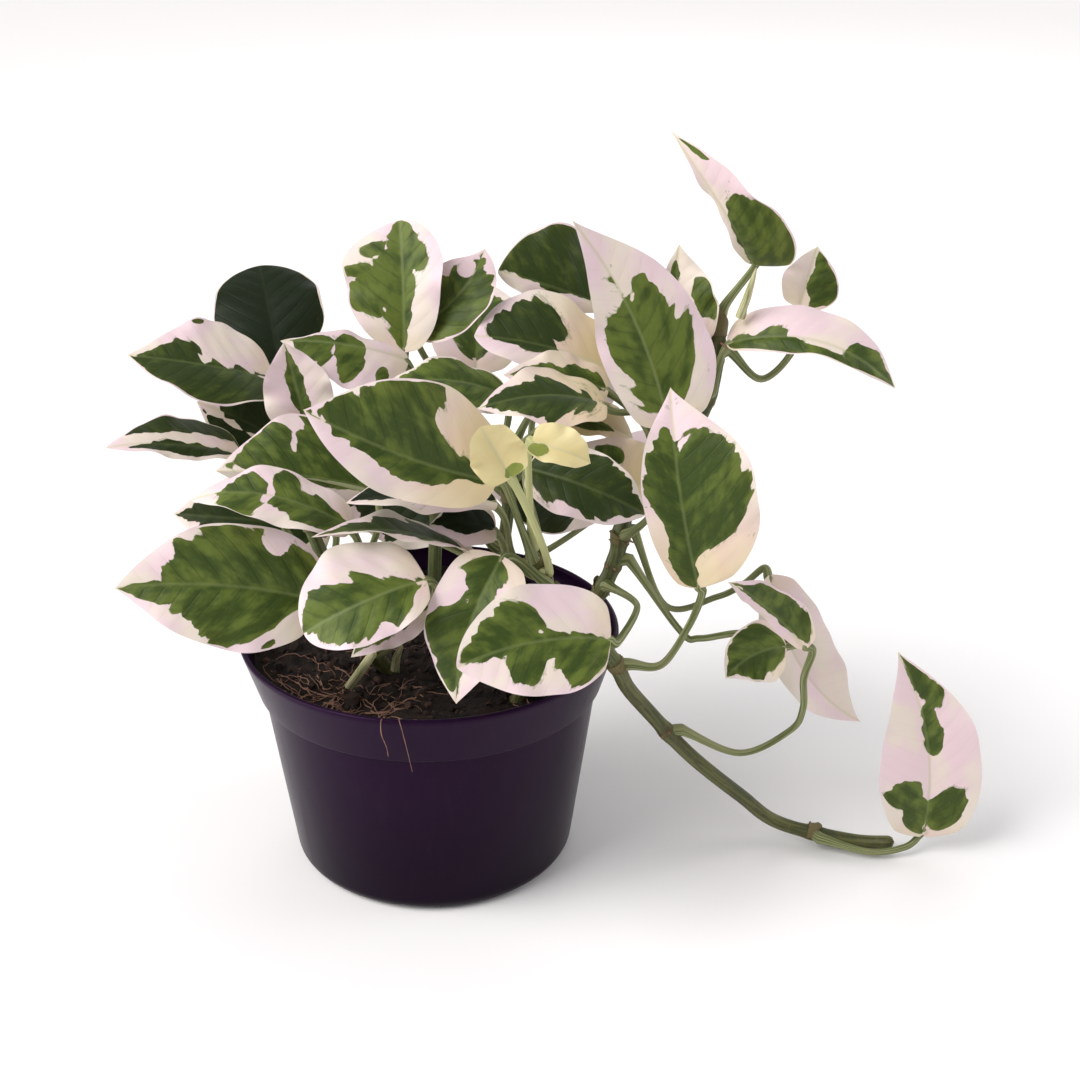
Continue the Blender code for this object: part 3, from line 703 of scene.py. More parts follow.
vine_skin.set(roughness=0.38 + mottle * 0.25 + scar_of * 0.3)
vine_skin.bump(along_streaks * 0.6 + mottle * 0.4, 0.18, 0.5)

dry_skin = Finish("dry_sheath", specular_ior_level=0.3)
across, deep, height = dry_skin.place().parts()
fibres = dry_skin.noise((across * 3, deep * 3, height * 0.4))
dry_skin.set(base_color=dry_skin.mix(fibres, (0.085, 0.065, 0.028), (0.23, 0.19, 0.085)), roughness=0.65)
dry_skin.bump(fibres, 0.15)

for name in VINES:
    body, stem_values = vine_body(name)
    new_piece(name, [body], vine_skin, name, values=stem_values)

sheaths = []
stubs = []
for name, (_, _, nodes) in VINES.items():
    for k, share in enumerate(nodes):
        place, ahead, radius = vine_place(name, share)
        outward = unit(np.cross(ahead, (math.sin(2.4 * k + 1), math.cos(2.4 * k + 1), 0.3)))
        if k % 2 == 0:
            sheaths.append(dry_sheath(place - ahead * 1.8, ahead, outward, radius + 0.3, 3.4 + 0.4 * k))
        for side in (-0.5, 0.4):
            way = unit(np.cross(outward, ahead) + side * outward)
            stubs.append(root_stub(place - ahead * 1.6 + way * radius * 0.8, way, 1.6 + 0.3 * k, 0.42))
new_piece("dry_sheaths", sheaths, dry_skin, sharp=70)
new_piece("aerial_root_stubs", stubs, root_skin)


# Leaves: each is one growth, a grooved stalk that swells where it leaves its vine and again at the
# blade, and runs on under the blade as its rib. The blade is a thin waxy sheet, green where the leaf
# holds its green and cream to pinkish white elsewhere, with borders that run along the side veins.

BLADE_ROWS = 84
BLADE_COLUMNS = 35
CURL = 7.5
STALK_RADIUS = 1.25
STALK_GAP = 0.75
STALK_SIDES = 14
ROOT_STEPS = 4
RIB_END = 0.93
RIB_STEPS = 26
USUAL_BLADE = {
    "green": (), "cream": (), "arch": 0, "sway": 0, "hook": 0, "twist": 0, "folds": (15, 15), "sides": (1, 1),
    "widest": 0.42, "heel": 0.22, "lobe": 0.02, "point": 1.1,
}


def half_width(blade, u):
    """Half the blade's width at shares u of its length: a quarter ellipse that starts at the heel's
    width, then a pointed curve. The heel's corners are rounded off over the first twentieth."""
    before = np.clip((blade["widest"] - u) / blade["widest"], 0, 1)
    after = np.clip((u - blade["widest"]) / (1 - blade["widest"]), 0, 1)
    heel_part = blade["heel"] + (1 - blade["heel"]) * np.sqrt(1 - before**2)
    tip_part = (1 - after**2.1) ** blade["point"]
    corner = np.sqrt(1 - (1 - np.clip(u / 0.05, 0, 1)) ** 2)
    return blade["width"] / 2 * np.where(u > blade["widest"], tip_part, heel_part * corner)


def rib_line(blade, u):
    """The rib: the chord from base to tip, arched and swayed by a parabola, with a hooked tip."""
    chord = blade["tip"] - blade["base"]
    ahead = unit(chord)
    up = unit(blade["face"] - ahead * (blade["face"] @ ahead))
    right = np.cross(ahead, up)
    u = np.asarray(u, float)[:, None]
    hump = 4 * u * (1 - u)
    lift = blade["arch"] * hump + blade["hook"] * (u - u**4)
    return blade["base"] + chord * u + up * lift + right * blade["sway"] * hump


def rib_frames(blade, u):
    """The rib's direction, the way to the right and the way up from the blade, at shares u."""
    nudge = 0.001
    ahead = unit(rib_line(blade, u + nudge) - rib_line(blade, u - nudge))
    up = unit(blade["face"] - ahead * (ahead @ blade["face"])[:, None])
    right = np.cross(ahead, up)
    turn = np.radians(blade["twist"]) * (u - 0.5)[:, None]
    up = up * np.cos(turn) + right * np.sin(turn)
    return ahead, np.cross(ahead, up), up


def blade_sheet(blade, u, v):
    """The blade's upper face over u along the rib and v across it. Each half rises by its fold from a
    rounded valley and curls back to its margin, which waves. The sheet puffs up between the side veins.
    Gives the points, their distances from the rib and along it, and how far they are from the margin."""
    ahead, right, up = rib_frames(blade, u)
    on_right = (v > 0)[None, :]
    reach = np.abs(v)[None, :]
    along = u[:, None]
    seed = blade["seed"]
    uneven = 1 + 0.022 * np.sin(2 * np.pi * (2.3 * along + 0.17 * seed) + 2 * on_right)
    half = half_width(blade, u)[:, None] * np.where(on_right, blade["sides"][1], blade["sides"][0]) * uneven
    angle = np.radians(np.where(on_right, blade["folds"][1], blade["folds"][0]) - CURL * reach)
    valley = np.sqrt(reach**2 + 0.01) - 0.1
    from_rib = np.sign(v)[None, :] * half * reach
    across = from_rib * np.cos(angle)
    wave = np.sin(2 * np.pi * (1.7 * along + 0.31 * on_right)) * np.sin(np.pi * along)
    ripple = np.sin(2 * np.pi * (4.1 * along + 0.23 * seed) + 3 * on_right) * np.sin(np.pi * along)
    length = np.linalg.norm(blade["tip"] - blade["base"])
    vein = along * length - 0.62 * half * reach
    puff = (0.5 - 0.5 * np.cos(2 * np.pi * vein / blade["vein_gap"])) * np.sin(np.pi * reach) * half / 16
    waving = 1.2 * reach**2 * wave + 0.45 * reach**3 * ripple
    rise = half * valley * np.sin(angle) * 1.1 + waving + 0.16 * puff
    groove = 0.3 * np.exp(-((half * reach / 0.9) ** 2)) * (1 - along)
    back = -blade["lobe"] * length * np.sin(np.pi / 2 * reach) * (1 - along) ** 3
    places = rib_line(blade, u)[:, None, :] + ahead[:, None, :] * back[..., None]
    places = places + right[:, None, :] * across[..., None] + up[:, None, :] * (rise - groove)[..., None]
    return places, from_rib, along * length + 0 * from_rib, half * (1 - reach)


def green_field(blade, u, v):
    """Above 0 where the blade is green: the highest of the green patches, each an ellipse in u and v
    that is 1 in its middle and 0 at its edge, cut back by cream patches, which are twice as steep."""
    field = np.full(np.broadcast(u, v).shape, -1.0)
    for middle_u, middle_v, reach_u, reach_v in blade["green"]:
        field = np.maximum(field, 1 - np.hypot((u - middle_u) / reach_u, (v - middle_v) / reach_v))
    for middle_u, middle_v, reach_u, reach_v in blade["cream"]:
        away = np.hypot((u - middle_u) / reach_u, (v - middle_v) / reach_v)
        field = np.minimum(field, 2 * away - 2)
    return field


def blade_body(blade):
    """Closed sections of the blade from its base to its tip: across the upper face from left to right
    and back under it, half a millimetre thick at the rib and thin at the margin. With them come the
    values for the finish: sheet, tone and veins."""
    share = np.linspace(0, 1, BLADE_ROWS)
    u = 0.001 + 0.998 * (0.35 * share + 0.65 * (0.5 - 0.5 * np.cos(np.pi * share)))
    side = np.linspace(-1, 1, BLADE_COLUMNS)
    v = 0.55 * side + 0.45 * np.sin(np.pi / 2 * side)
    top, across, along, margin = blade_sheet(blade, u, v)
    up = rib_frames(blade, u)[2][:, None, :]
    thick = (0.1 + 0.4 * (1 - v**2)) * np.sqrt(np.sin(np.pi * u))[:, None]
    under = (top - up * thick[..., None])[:, -2:0:-1]
    rings = np.concatenate([top, under], axis=1)
    field = green_field(blade, u[:, None], v[None, :])
    upper = np.concatenate([np.ones_like(across), np.zeros_like(across)[:, 1:-1]], axis=1)

    def wrapped(values):
        return np.concatenate([values, values[:, -2:0:-1]], axis=1)

    sheet = surface_values(wrapped(along), wrapped(across), blade["seed"] * 7.3)
    veins = surface_values(blade["vein_gap"], wrapped(margin), 0)
    return closed_loft(rings), sheet, surface_values(wrapped(field), upper, 0), veins


def arc_curve(start, first, second, end, steps):
    """Points along a cubic Bezier curve."""
    t = np.linspace(0, 1, steps + 1)[:, None]
    early = (1 - t) ** 3 * start + 3 * t * (1 - t) ** 2 * first
    late = 3 * t**2 * (1 - t) * second + t**3 * end
    return early + late


def stalk_line(blade, vine, node_number, along, via):
    """The stalk's centre line, from beside its vine to the foot of the blade."""
    ahead, _, up = (way[0] for way in rib_frames(blade, np.array([0.0])))
    base = blade["base"]
    arrive = unit(ahead * along + up * 0.5)
    at = VINES[vine][2][node_number]
    node, growth, vine_radius = vine_place(vine, at)
    aim = np.array(via[0]) if via else base
    leave = unit(aim - node)
    if at >= 0.97:
        leave = unit(leave + growth * 0.8)
    else:
        leave = unit(unit(leave - growth * (leave @ growth)) + growth * 0.55)
    start = node + leave * (vine_radius + STALK_RADIUS + STALK_GAP)
    if via:
        return node, smooth_curve([start, *via, base - arrive * 4, base], 10)
    third = np.linalg.norm(base - node) * 0.33
    return node, arc_curve(start, start + leave * third, base - arrive * min(third, 14), base, 32)


def stalk_body(blade, vine, node_number, along, via):
    """One tapering tube: out of the vine, up the stalk and on under the blade as its rib. It flares
    into a sheath at the vine, swells under the blade, and has a groove along its upper side."""
    node, line = stalk_line(blade, vine, node_number, along, via)
    share = share_along(line)
    length = path_length(line)
    up = rib_frames(blade, np.array([0.0]))[2][0]
    line = line - up * 1.15 * share[:, None] ** 6
    root = node + (line[0] - node) * np.linspace(0.1, 0.9, ROOT_STEPS)[:, None]
    u = np.linspace(0.02, RIB_END, RIB_STEPS)
    rib_radius = 0.22 + 0.95 * (1 - u) ** 1.6
    rib = rib_line(blade, u) - rib_frames(blade, u)[2] * (rib_radius * 0.9 + 0.18)[:, None]
    whole = np.vstack([root, line, rib])
    run_length = share * length
    sheath = 0.75 * np.exp(-run_length / 5)
    swelling = 0.3 * np.exp(-(((length - run_length) / 2.6) ** 2))
    stalk_radius = STALK_RADIUS + sheath + swelling - 0.18 * np.sin(np.pi * share)
    radii = np.concatenate([np.full(ROOT_STEPS, stalk_radius[0]), stalk_radius, rib_radius])
    side = rib_frames(blade, np.array([RIB_END]))[1][0]
    turn = full_turn(STALK_SIDES)
    groove = 1 - 0.2 * np.clip(-np.sin(turn), 0, 1) ** 3
    rings = swollen(whole, tube_rings(whole, radii, STALK_SIDES, side), groove[None])
    reach = path_length(whole) * share_along(whole)
    on_rib = np.concatenate([np.zeros(ROOT_STEPS + len(line)), np.ones(RIB_STEPS)])[:, None]
    sheet = surface_values(reach[:, None], 3 * np.cos(turn), blade["seed"])
    return closed_loft(rings), sheet, surface_values(on_rib, 0 * turn, 1.0)


def leaf_finish():
    """The skin of every leaf. The field is roughened along the side veins, and its zero line parts green
    from white. Green is marbled light and deep, white goes from pinkish to cream, and the underside
    is paler and duller. Painted shade darkens the side vein lines, and painted light lifts the green on
    the puffs between them. The second tint is painted shade as well: it deepens a leaf's green, to near
    black at 1, and below 0 it is painted light that makes the green paler."""
    skin = Finish("leaf_skin", specular_ior_level=0.22, subsurface_weight=0.1, subsurface_scale=0.0012)
    skin.set(subsurface_radius=(1.0, 0.8, 0.45))
    x, y, seed = skin.attribute("sheet").parts()
    field, upper, stalk = skin.attribute("tone").parts()
    warm, dark, young = skin.attribute("tint").parts()
    gap, margin, _ = skin.attribute("veins").parts()
    away = abs(y)
    side = y.math("GREATER_THAN", 0.0)
    other_half = seed + side * 5.3
    vein = x - away * 0.62 - away * away * 0.014
    broad = skin.noise((vein * 0.11, away * 0.06, other_half), 1.0, 1.5, 0.5)
    fingers = skin.noise((vein * 0.26, away * 0.10, other_half + 3.1), 1.0, 1.0, 0.5)
    flecks = skin.noise((vein * 1.1, away * 0.6, other_half + 7.7), 1.0, 2.0, 0.6)
    margin_gap = skin.noise((vein * 0.10, side, seed + 4.0), 1.0, 1.0)
    border = skin.step(margin, margin_gap * 1.8 - 0.2, margin_gap * 0.8 - 0.3)
    edge = field + (broad - 0.5) * 0.9 + (fingers - 0.5) * 0.75 + (flecks - 0.5) * 0.10 - border * 1.6
    green = skin.step(edge, -0.02, 0.02)
    halo = skin.step(edge + (flecks - 0.5) * 0.7, -0.09, -0.04) * skin.step(broad, 0.52, 0.58)
    freckles = skin.step(flecks + edge * 0.18, 0.66, 0.69)

    marbling = skin.noise((vein * 0.17, away * 0.17, other_half + 11.0), 1.0, 4.0, 0.55)
    fine = skin.noise((vein * 0.9, away * 0.65, other_half + 15.0), 1.0, 4.0, 0.65)
    middle = skin.step(edge, 0.05, 0.45)
    saw = (vein / gap).math("FRACT")
    vein_line = skin.step(abs(saw - 0.5) * 2, 0.80, 1.0) * skin.step(away, 0.5, 2.0)
    rib_mark = skin.step(away, 0.75, 0.15)

    light_green = skin.mix(fine, (0.085, 0.125, 0.018), (0.140, 0.185, 0.034))
    deep_green = skin.mix(fine, (0.030, 0.052, 0.007), (0.052, 0.085, 0.012))
    bulge = skin.step(abs(saw - 0.5) * 2, 1.0, 0.0)
    # Painted light and shade: the shade tint deepens the marbling, and bulge lightens the green on the puffs
    # between the side veins as a painted highlight.
    depth = marbling + middle * 0.08 + dark * 0.16 - bulge * 0.05
    leaf_green = skin.mix(skin.step(depth, 0.34, 0.64), light_green, deep_green)
    leaf_green = skin.mix(skin.step(fine, 0.60, 0.75) * 0.25, leaf_green, (0.18, 0.22, 0.05))
    # Painted shade: the side vein lines are darkened in the green, as shade in their grooves.
    leaf_green = skin.mix(vein_line * 0.25, leaf_green, (0.022, 0.040, 0.007))
    leaf_green = skin.mix(young * 0.75, leaf_green, (0.28, 0.33, 0.07))
    # Painted shade: the shade tint mixes the green towards near black, and takes the paler midrib away with
    # it.
    painted_shade_black = skin.mix(fine, (0.002, 0.005, 0.001), (0.008, 0.018, 0.004))
    leaf_green = skin.mix(dark.math("MAXIMUM", 0.0) * 0.96, leaf_green, painted_shade_black)
    leaf_green = skin.mix(rib_mark * (0.35 - dark * 0.32), leaf_green, (0.20, 0.24, 0.09))

    blush = skin.noise((x * 0.05, y * 0.08, seed), 1.0, 2.0)
    pale = skin.mix(skin.step(blush, 0.4, 0.62), (0.77, 0.60, 0.64), (0.77, 0.675, 0.595))
    cream = skin.mix(blush, (0.61, 0.46, 0.21), (0.75, 0.61, 0.38))
    pale = skin.mix(warm * skin.step(x, 34.0, 6.0), pale, cream)
    pale = skin.mix(skin.step(x, 9.0, 2.0) * 0.35, pale, cream)
    pale = skin.mix(young, pale, skin.mix(broad, (0.64, 0.53, 0.22), (0.80, 0.70, 0.42)))
    # Painted shade: the side vein lines are greyed a little on the white, as shade in their grooves.
    pale = skin.mix(vein_line * 0.07, pale, (0.56, 0.47, 0.36))
    pale = skin.mix(rib_mark * 0.5, pale, (0.60, 0.56, 0.34))
    pale = skin.mix(halo * 0.40, pale, (0.20, 0.24, 0.12))
    pale = skin.mix(freckles * 0.2, pale, (0.22, 0.26, 0.11))

    blade = skin.mix(green, pale, leaf_green)
    under_green = skin.mix(0.45, leaf_green, (0.150, 0.205, 0.065))
    under_pale = skin.mix(0.35, pale, (0.42, 0.44, 0.24))
    under = skin.mix(green, under_pale, under_green)
    blade = skin.mix(upper, under, blade)
    stripes = skin.noise((x * 0.035, y * 1.3, seed), 1.0, 3.0, 0.6)
    stalk_green = skin.mix(skin.step(stripes, 0.38, 0.62), (0.095, 0.120, 0.036), (0.30, 0.315, 0.155))
    stalk_green = skin.mix(field * 0.6, stalk_green, (0.38, 0.40, 0.22))
    stalk_green = skin.mix(young * 0.6, stalk_green, (0.62, 0.62, 0.30))
    skin.set(base_color=skin.mix(stalk, blade, stalk_green))
    skin.set(roughness=0.40 + fine * 0.16 + (1 - upper) * 0.14)
    on_blade = 1 - stalk
    furrows = (bulge * 0.3 - vein_line * 0.55) * (0.3 + green * 0.7)
    relief = (furrows + fine * 0.22 + flecks * 0.12) * on_blade + stripes * stalk * 0.4
    skin.bump(relief, 0.22, 0.55)
    return skin


leaf_skin = leaf_finish()
leaf_count = 0


def leaf(
    name, vine, node_number, base, tip, width, face, along=0.8, via=(), warm=0.0, dark=0.0, young=0.0, **shape
):
    """Makes one leaf, whose stalk leaves its vine at a numbered node, goes by way of the points in via
    and arrives along the blade's own direction by the share along. base and tip are the ends of its rib,
    and face is the way its upper side looks. In shape, arch lifts the middle of the rib, sway moves it to
    the right, hook bends the tip down and twist turns the blade along its length. folds are the angles
    that the left and right halves rise by, and sides the share of the half width each has. widest, heel,
    lobe and point shape the outline. green and cream are patches: middle along and across, reach along
    and across. warm turns the white near the stalk cream. dark is painted shade: it deepens the green,
    to near black for leaves that lie in shade, and below 0 it is painted light that lightens the green.
    young makes the whole leaf lemon."""
    global leaf_count
    leaf_count += 1
    blade = {"seed": 1 + 0.37 * leaf_count, "vein_gap": 3.6 + 0.05 * width, "width": width}
    blade.update(base=np.array(base, float), tip=np.array(tip, float), face=np.array(face, float))
    blade.update({**USUAL_BLADE, **shape})
    sheet_body, sheet, tone, veins = blade_body(blade)
    stalk, stalk_sheet, stalk_tone = stalk_body(blade, vine, node_number, along, via)
    everywhere = np.ones((len(sheet) + len(stalk_sheet), 1))
    values = {
        "sheet": np.vstack([sheet, stalk_sheet]),
        "tone": np.vstack([tone, stalk_tone]),
        "tint": everywhere * (warm, dark, young),
        "veins": np.vstack([veins, stalk_sheet]),
    }
    new_piece(name, [sheet_body, stalk], leaf_skin, name, values=values, sharp=75)


# The shade tint that some leaves below are given is painted shade: at 0.7 to 1 it turns a leaf that lies in
# shade near black, and below 0 it is painted light that makes a leaf's green paler.
leaf(
    "left_back_leaf_1", "vine_far_left", 3, (-48, 36, 153), (-56, 62, 177), 35, (1, -7, 7),
    green=[(0.5, 0, 0.9, 1.6)], dark=1, arch=4, folds=(5, 5), widest=0.5, heel=0.1, point=0.5,
)
leaf(
    "left_back_leaf_2", "vine_far_left", 4, (-48, 20, 154), (-90, 10, 165), 32, (3, -4, 9),
    green=[(0.42, -0.5, 0.62, 0.62), (0.72, 0.1, 0.24, 0.42), (0.56, 0.98, 0.05, 0.12)], dark=0.4, arch=4,
    sway=-3, folds=(5, 15), sides=(0.9, 1.1),
)
leaf(
    "left_back_leaf_3", "vine_far_left", 1, (-57, 3, 136), (-95, -8, 142), 21, (2, -4, 9),
    green=[(0.42, 0.8, 0.5, 0.42), (0.42, -0.3, 0.38, 0.42)], cream=[(0.9, 0.1, 0.16, 0.5)], dark=0.65,
    arch=2, hook=2, folds=(10, 0), sides=(0.55, 1.25), widest=0.36, point=0.9,
)
leaf(
    "left_back_leaf_4", "vine_far_left", 2, (-47, 21, 133), (-72, 20, 146), 22, (0, -7, 7),
    green=[(0.35, 0.3, 0.4, 0.6), (0.5, -0.6, 0.4, 0.3)], dark=0.8, arch=2,
)
leaf(
    "upper_leaf_1", "vine_back", 4, (-7, 20, 163), (-8, 34, 200), 34, (-1, -9, 3),
    green=[
        (0.5, -0.06, 0.55, 0.34), (0.45, -0.6, 0.17, 0.42), (0.63, -0.8, 0.06, 0.28),
        (0.8, -0.5, 0.06, 0.25), (0.92, 0.1, 0.12, 0.5), (0.72, 0.35, 0.12, 0.32),
    ],
    dark=-0.6, arch=3, sway=1, folds=(5, 25), sides=(1.1, 0.8), widest=0.64, heel=0.06, point=0.6,
)
leaf(
    "upper_leaf_2", "vine_back", 2, (-5, 6, 165), (-42, 0, 173), 28, (2, -5, 8),
    green=[(0.76, -0.1, 0.18, 0.8), (0.46, -0.15, 0.13, 0.85), (0.2, -0.7, 0.06, 0.3)], dark=-0.3, arch=3,
    folds=(-10, 10), sides=(0.95, 0.3),
)
leaf(
    "left_back_leaf_5", "vine_far_left", 5, (-34, -9, 148), (-40, -7, 175), 21, (1, -10, 2),
    green=[(0.5, 0.05, 0.42, 0.3)], arch=-1, widest=0.4,
)
leaf(
    "upper_leaf_3", "vine_back", 5, (-3, 24, 169), (18, 34, 191), 22, (-2, -8, 6),
    green=[(0.42, 0.15, 0.5, 0.95)], cream=[(0.75, -0.3, 0.1, 0.3), (0.1, -0.5, 0.12, 0.5)], arch=3,
    sway=5, hook=2, widest=0.5, heel=0.15,
)
leaf(
    "upper_leaf_4", "vine_tall", 8, (60, 15, 157), (15, 13, 170), 30, (1, -5, 8),
    green=[(0.7, 0.3, 0.22, 0.55), (0.58, -0.05, 0.14, 0.3)], warm=1, dark=0.5, arch=4, sides=(0.7, 1.25),
    widest=0.64, heel=0.1, point=0.8,
)
leaf(
    "upper_leaf_5", "vine_rear", 5, (54, 34, 173), (22, 30, 185), 30, (0, -8, 6),
    green=[(0.45, 0.55, 0.55, 0.75)], dark=0.4, arch=2, folds=(-20, 10), sides=(0.4, 1.35), widest=0.5,
    point=0.7,
)
leaf(
    "upper_leaf_6", "vine_back", 0, (25, -8, 159), (-11, -14, 164), 30, (0, -3, 9),
    green=[(0.42, 0.1, 0.46, 0.9)], cream=[(0.7, -0.8, 0.2, 0.4)], arch=4, folds=(0, 10),
    sides=(0.85, 0.65),
)
leaf(
    "upper_leaf_7", "vine_tall", 5, (55, 0, 158), (24, -2, 163), 18, (0, -5, 8),
    green=[(0.25, 0.1, 0.25, 0.7), (0.7, 0, 0.22, 0.6)], warm=0.5, arch=2,
)
leaf(
    "upper_leaf_8", "vine_tall", 7, (54, -12, 158), (17, -22, 160), 24, (0, -3, 9),
    green=[(0.55, -0.1, 0.42, 0.75)], warm=0.7, dark=0.4, arch=4, folds=(0, 10),
)
leaf(
    "inner_leaf_1", "vine_back", 1, (40, -3, 150), (63, -5, 144), 15, (0, -6, 8),
    green=[(0.4, 0.2, 0.3, 0.35)], warm=1, arch=3, folds=(30, 30),
)
leaf(
    "inner_leaf_2", "vine_tall", 2, (70, -12, 127), (47, -14, 146), 22, (0, -8, 5),
    green=[(0.7, 0.3, 0.15, 0.3)], warm=1, arch=2,
)
leaf(
    "tall_leaf_1", "vine_tall", 12, (99, 22, 190), (72, 10, 234), 18, (-5, -7, -5),
    green=[(0.22, 0.5, 0.34, 0.72), (0.86, 0.9, 0.12, 0.4)], cream=[(0.55, -0.2, 0.2, 0.35)], dark=-0.2,
    arch=3, sway=5, folds=(20, 0), sides=(0.3, 1.95), widest=0.2, heel=0.32, point=1.4,
    via=[(92, 19, 179)],
)
leaf(
    "tall_leaf_2", "vine_tall", 10, (115, 26, 175), (120, 30, 193), 18, (0, -9, 3),
    green=[(0.42, 0.55, 0.48, 0.5)], arch=-1, sides=(0.85, 1.15), widest=0.34, heel=0.25,
    via=[(103, 16, 155), (113, 22, 162)],
)
leaf(
    "tall_leaf_3", "vine_tall", 9, (92, 10, 169), (142, 2, 157), 22, (0, -7, 7),
    green=[(0.84, 0.1, 0.2, 0.85), (0.15, 0.4, 0.22, 0.6), (0.5, 0.8, 0.3, 0.4)], arch=11, sway=-3,
    folds=(5, 10), sides=(1, 0.5), widest=0.4, heel=0.3, point=0.9,
)
leaf(
    "tall_leaf_4", "vine_tall", 6, (73, -12, 151), (44, -4, 211), 37, (2, -9, 4),
    green=[
        (0.3, 0.05, 0.32, 0.66), (0.54, 0.4, 0.12, 0.24),
        (0.48, -0.05, 0.12, 0.2), (0.4, -0.5, 0.14, 0.28),
    ],
    dark=-0.8, arch=-3, sway=5, folds=(10, 10), sides=(0.75, 1.05), widest=0.3, point=1.4,
)
leaf(
    "tall_leaf_5", "vine_tall", 11, (84, 14, 167), (77, 22, 196), 17, (-3, -9, 1),
    green=[(0.45, 0.75, 0.25, 0.35), (0.75, -0.2, 0.1, 0.3)], arch=1, sway=-3, twist=30, sides=(0.6, 1.4),
)
leaf(
    "left_leaf_1", "vine_left", 1, (-29, -44, 109), (-86, -52, 117), 37, (1, -9, 4),
    green=[(0.42, 0, 0.38, 0.98), (0.86, -0.22, 0.2, 0.35), (0.1, 0.4, 0.14, 0.5)],
    cream=[
        (0.26, 0.92, 0.07, 0.32), (0.06, -0.75, 0.13, 0.5),
        (0.84, -0.95, 0.26, 0.42), (0.86, 0.4, 0.09, 0.3),
    ],
    arch=4, sway=3, widest=0.4, heel=0.26, lobe=0,
)
leaf(
    "left_leaf_2", "vine_left", 3, (-15, -22, 135), (-59, -28, 143), 34, (0, -6, 8),
    green=[
        (0.72, 0.45, 0.19, 0.48), (0.4, 0.4, 0.11, 0.75),
        (0.2, 0.1, 0.26, 0.42), (0.52, 0.12, 0.16, 0.26),
    ],
    arch=3, folds=(-60, 12), sides=(0.6, 1.15), widest=0.45,
)
leaf(
    "left_leaf_3", "vine_left", 2, (-19, -40, 131), (-66, -36, 137), 20, (0, -4, 9),
    green=[(0.66, -0.2, 0.15, 1), (0.22, -0.15, 0.28, 0.6), (0.42, 0.5, 0.08, 0.4)], arch=6, hook=5,
    folds=(10, 10),
)
leaf(
    "front_leaf_1", "vine_left", 0, (3, -56, 122), (-31, -66, 110), 30, (0, -7, 7),
    green=[(0.5, -0.2, 0.5, 0.68), (0.82, 0.2, 0.2, 0.5)],
    cream=[(0.42, -0.98, 0.07, 0.3), (0.08, -0.75, 0.1, 0.4)], dark=-0.4, arch=4, sides=(0.85, 1.15),
    widest=0.5, heel=0.14, lobe=0, point=0.55,
)
leaf(
    "front_leaf_2", "vine_front", 0, (4, -48, 109), (-19, -58, 98), 14, (0, -5, 8),
    green=[(0.5, 0.2, 0.5, 0.6)], arch=3,
)
leaf(
    "front_leaf_3", "vine_front", 2, (24, -51, 126), (11, -62, 85), 26, (-2, -8, 5),
    green=[(0.12, 0.1, 0.13, 0.6), (0.6, 0.35, 0.36, 0.6), (0.36, -0.1, 0.25, 0.4)],
    cream=[(0.27, 0.8, 0.12, 0.4)], arch=8, sway=1, widest=0.3,
)
leaf(
    "front_leaf_4", "vine_front", 1, (17, -42, 122), (-29, -54, 134), 22, (0, 1, 9),
    green=[(0.5, 0, 0.45, 0.7)], dark=0.4, arch=5,
)
leaf(
    "inner_leaf_4", "vine_centre", 1, (22, -38, 138), (-20, -44, 140), 26, (0, -1, 9),
    green=[(0.5, 0.3, 0.5, 0.8)], dark=1, arch=3,
)
leaf(
    "inner_leaf_5", "vine_centre", 0, (22, -33, 127), (3, -37, 130), 15, (0, -6, 8),
    green=[(0.5, 0.2, 0.5, 0.7)], dark=1, arch=2,
)
leaf(
    "centre_leaf", "vine_centre", 4, (23, -50, 149), (-29, -56, 173), 37, (1, -9, 3),
    green=[(0.62, 0.35, 0.36, 0.8), (0.45, -0.12, 0.24, 0.42), (0.22, 0.02, 0.26, 0.2)],
    cream=[(0.18, 0.85, 0.24, 0.62), (0.66, -0.6, 0.1, 0.3)], warm=0.8, dark=0.12, arch=3, sway=-2,
    sides=(0.63, 1.2), widest=0.48, heel=0.14, lobe=0, via=[(29, -43, 134)],
)
leaf(
    "young_leaf_1", "vine_centre", 2, (27, -58, 154), (19, -61, 170), 16, (1, -10, 3),
    green=[(0.02, 0.3, 0.14, 0.5)], young=1, arch=-2, folds=(22, 22), widest=0.4, heel=0.5, point=0.5,
)
leaf(
    "young_leaf_2", "vine_centre", 5, (33, -50, 161), (49, -53, 156), 14, (0, -8, 6),
    green=[(0.1, 0.4, 0.2, 0.5)], young=1, arch=3, folds=(30, 45), via=[(32, -47, 142)],
)
leaf(
    "inner_leaf_3", "vine_centre", 3, (32, -24, 142), (66, -30, 130), 22, (1, -8, 6),
    green=[(0.5, -0.1, 0.6, 0.88)], dark=0.5, arch=5, point=0.9,
)
leaf(
    "right_leaf", "vine_trailing", 0, (81, -42, 112), (72, -28, 169), 34, (-2, -10, 2),
    green=[
        (0.52, -0.35, 0.32, 0.62), (0.52, 0.42, 0.31, 0.5),
        (0.16, -0.3, 0.2, 0.42), (0.33, 0.05, 0.24, 0.36),
    ],
    cream=[(0.1, 0.75, 0.16, 0.68), (0.3, -0.98, 0.14, 0.42), (0.84, 0.02, 0.1, 0.14)], warm=0.6,
    dark=0.1, arch=3, sway=-1, sides=(0.65, 1.35), widest=0.5, heel=0.12, lobe=0, point=1.3,
    via=[(72, -26, 78), (79, -34, 95)],
)
leaf(
    "trailing_leaf_1", "vine_trailing", 1, (115, -28, 85), (90, -36, 111), 13, (-1, -9, -1),
    green=[(0.5, 0.35, 0.48, 0.6)], arch=-4, folds=(0, 10), sides=(0.6, 1.4), widest=0.4,
    via=[(99, -12, 38), (114, -15, 48), (117, -20, 59), (116, -24, 72)],
)
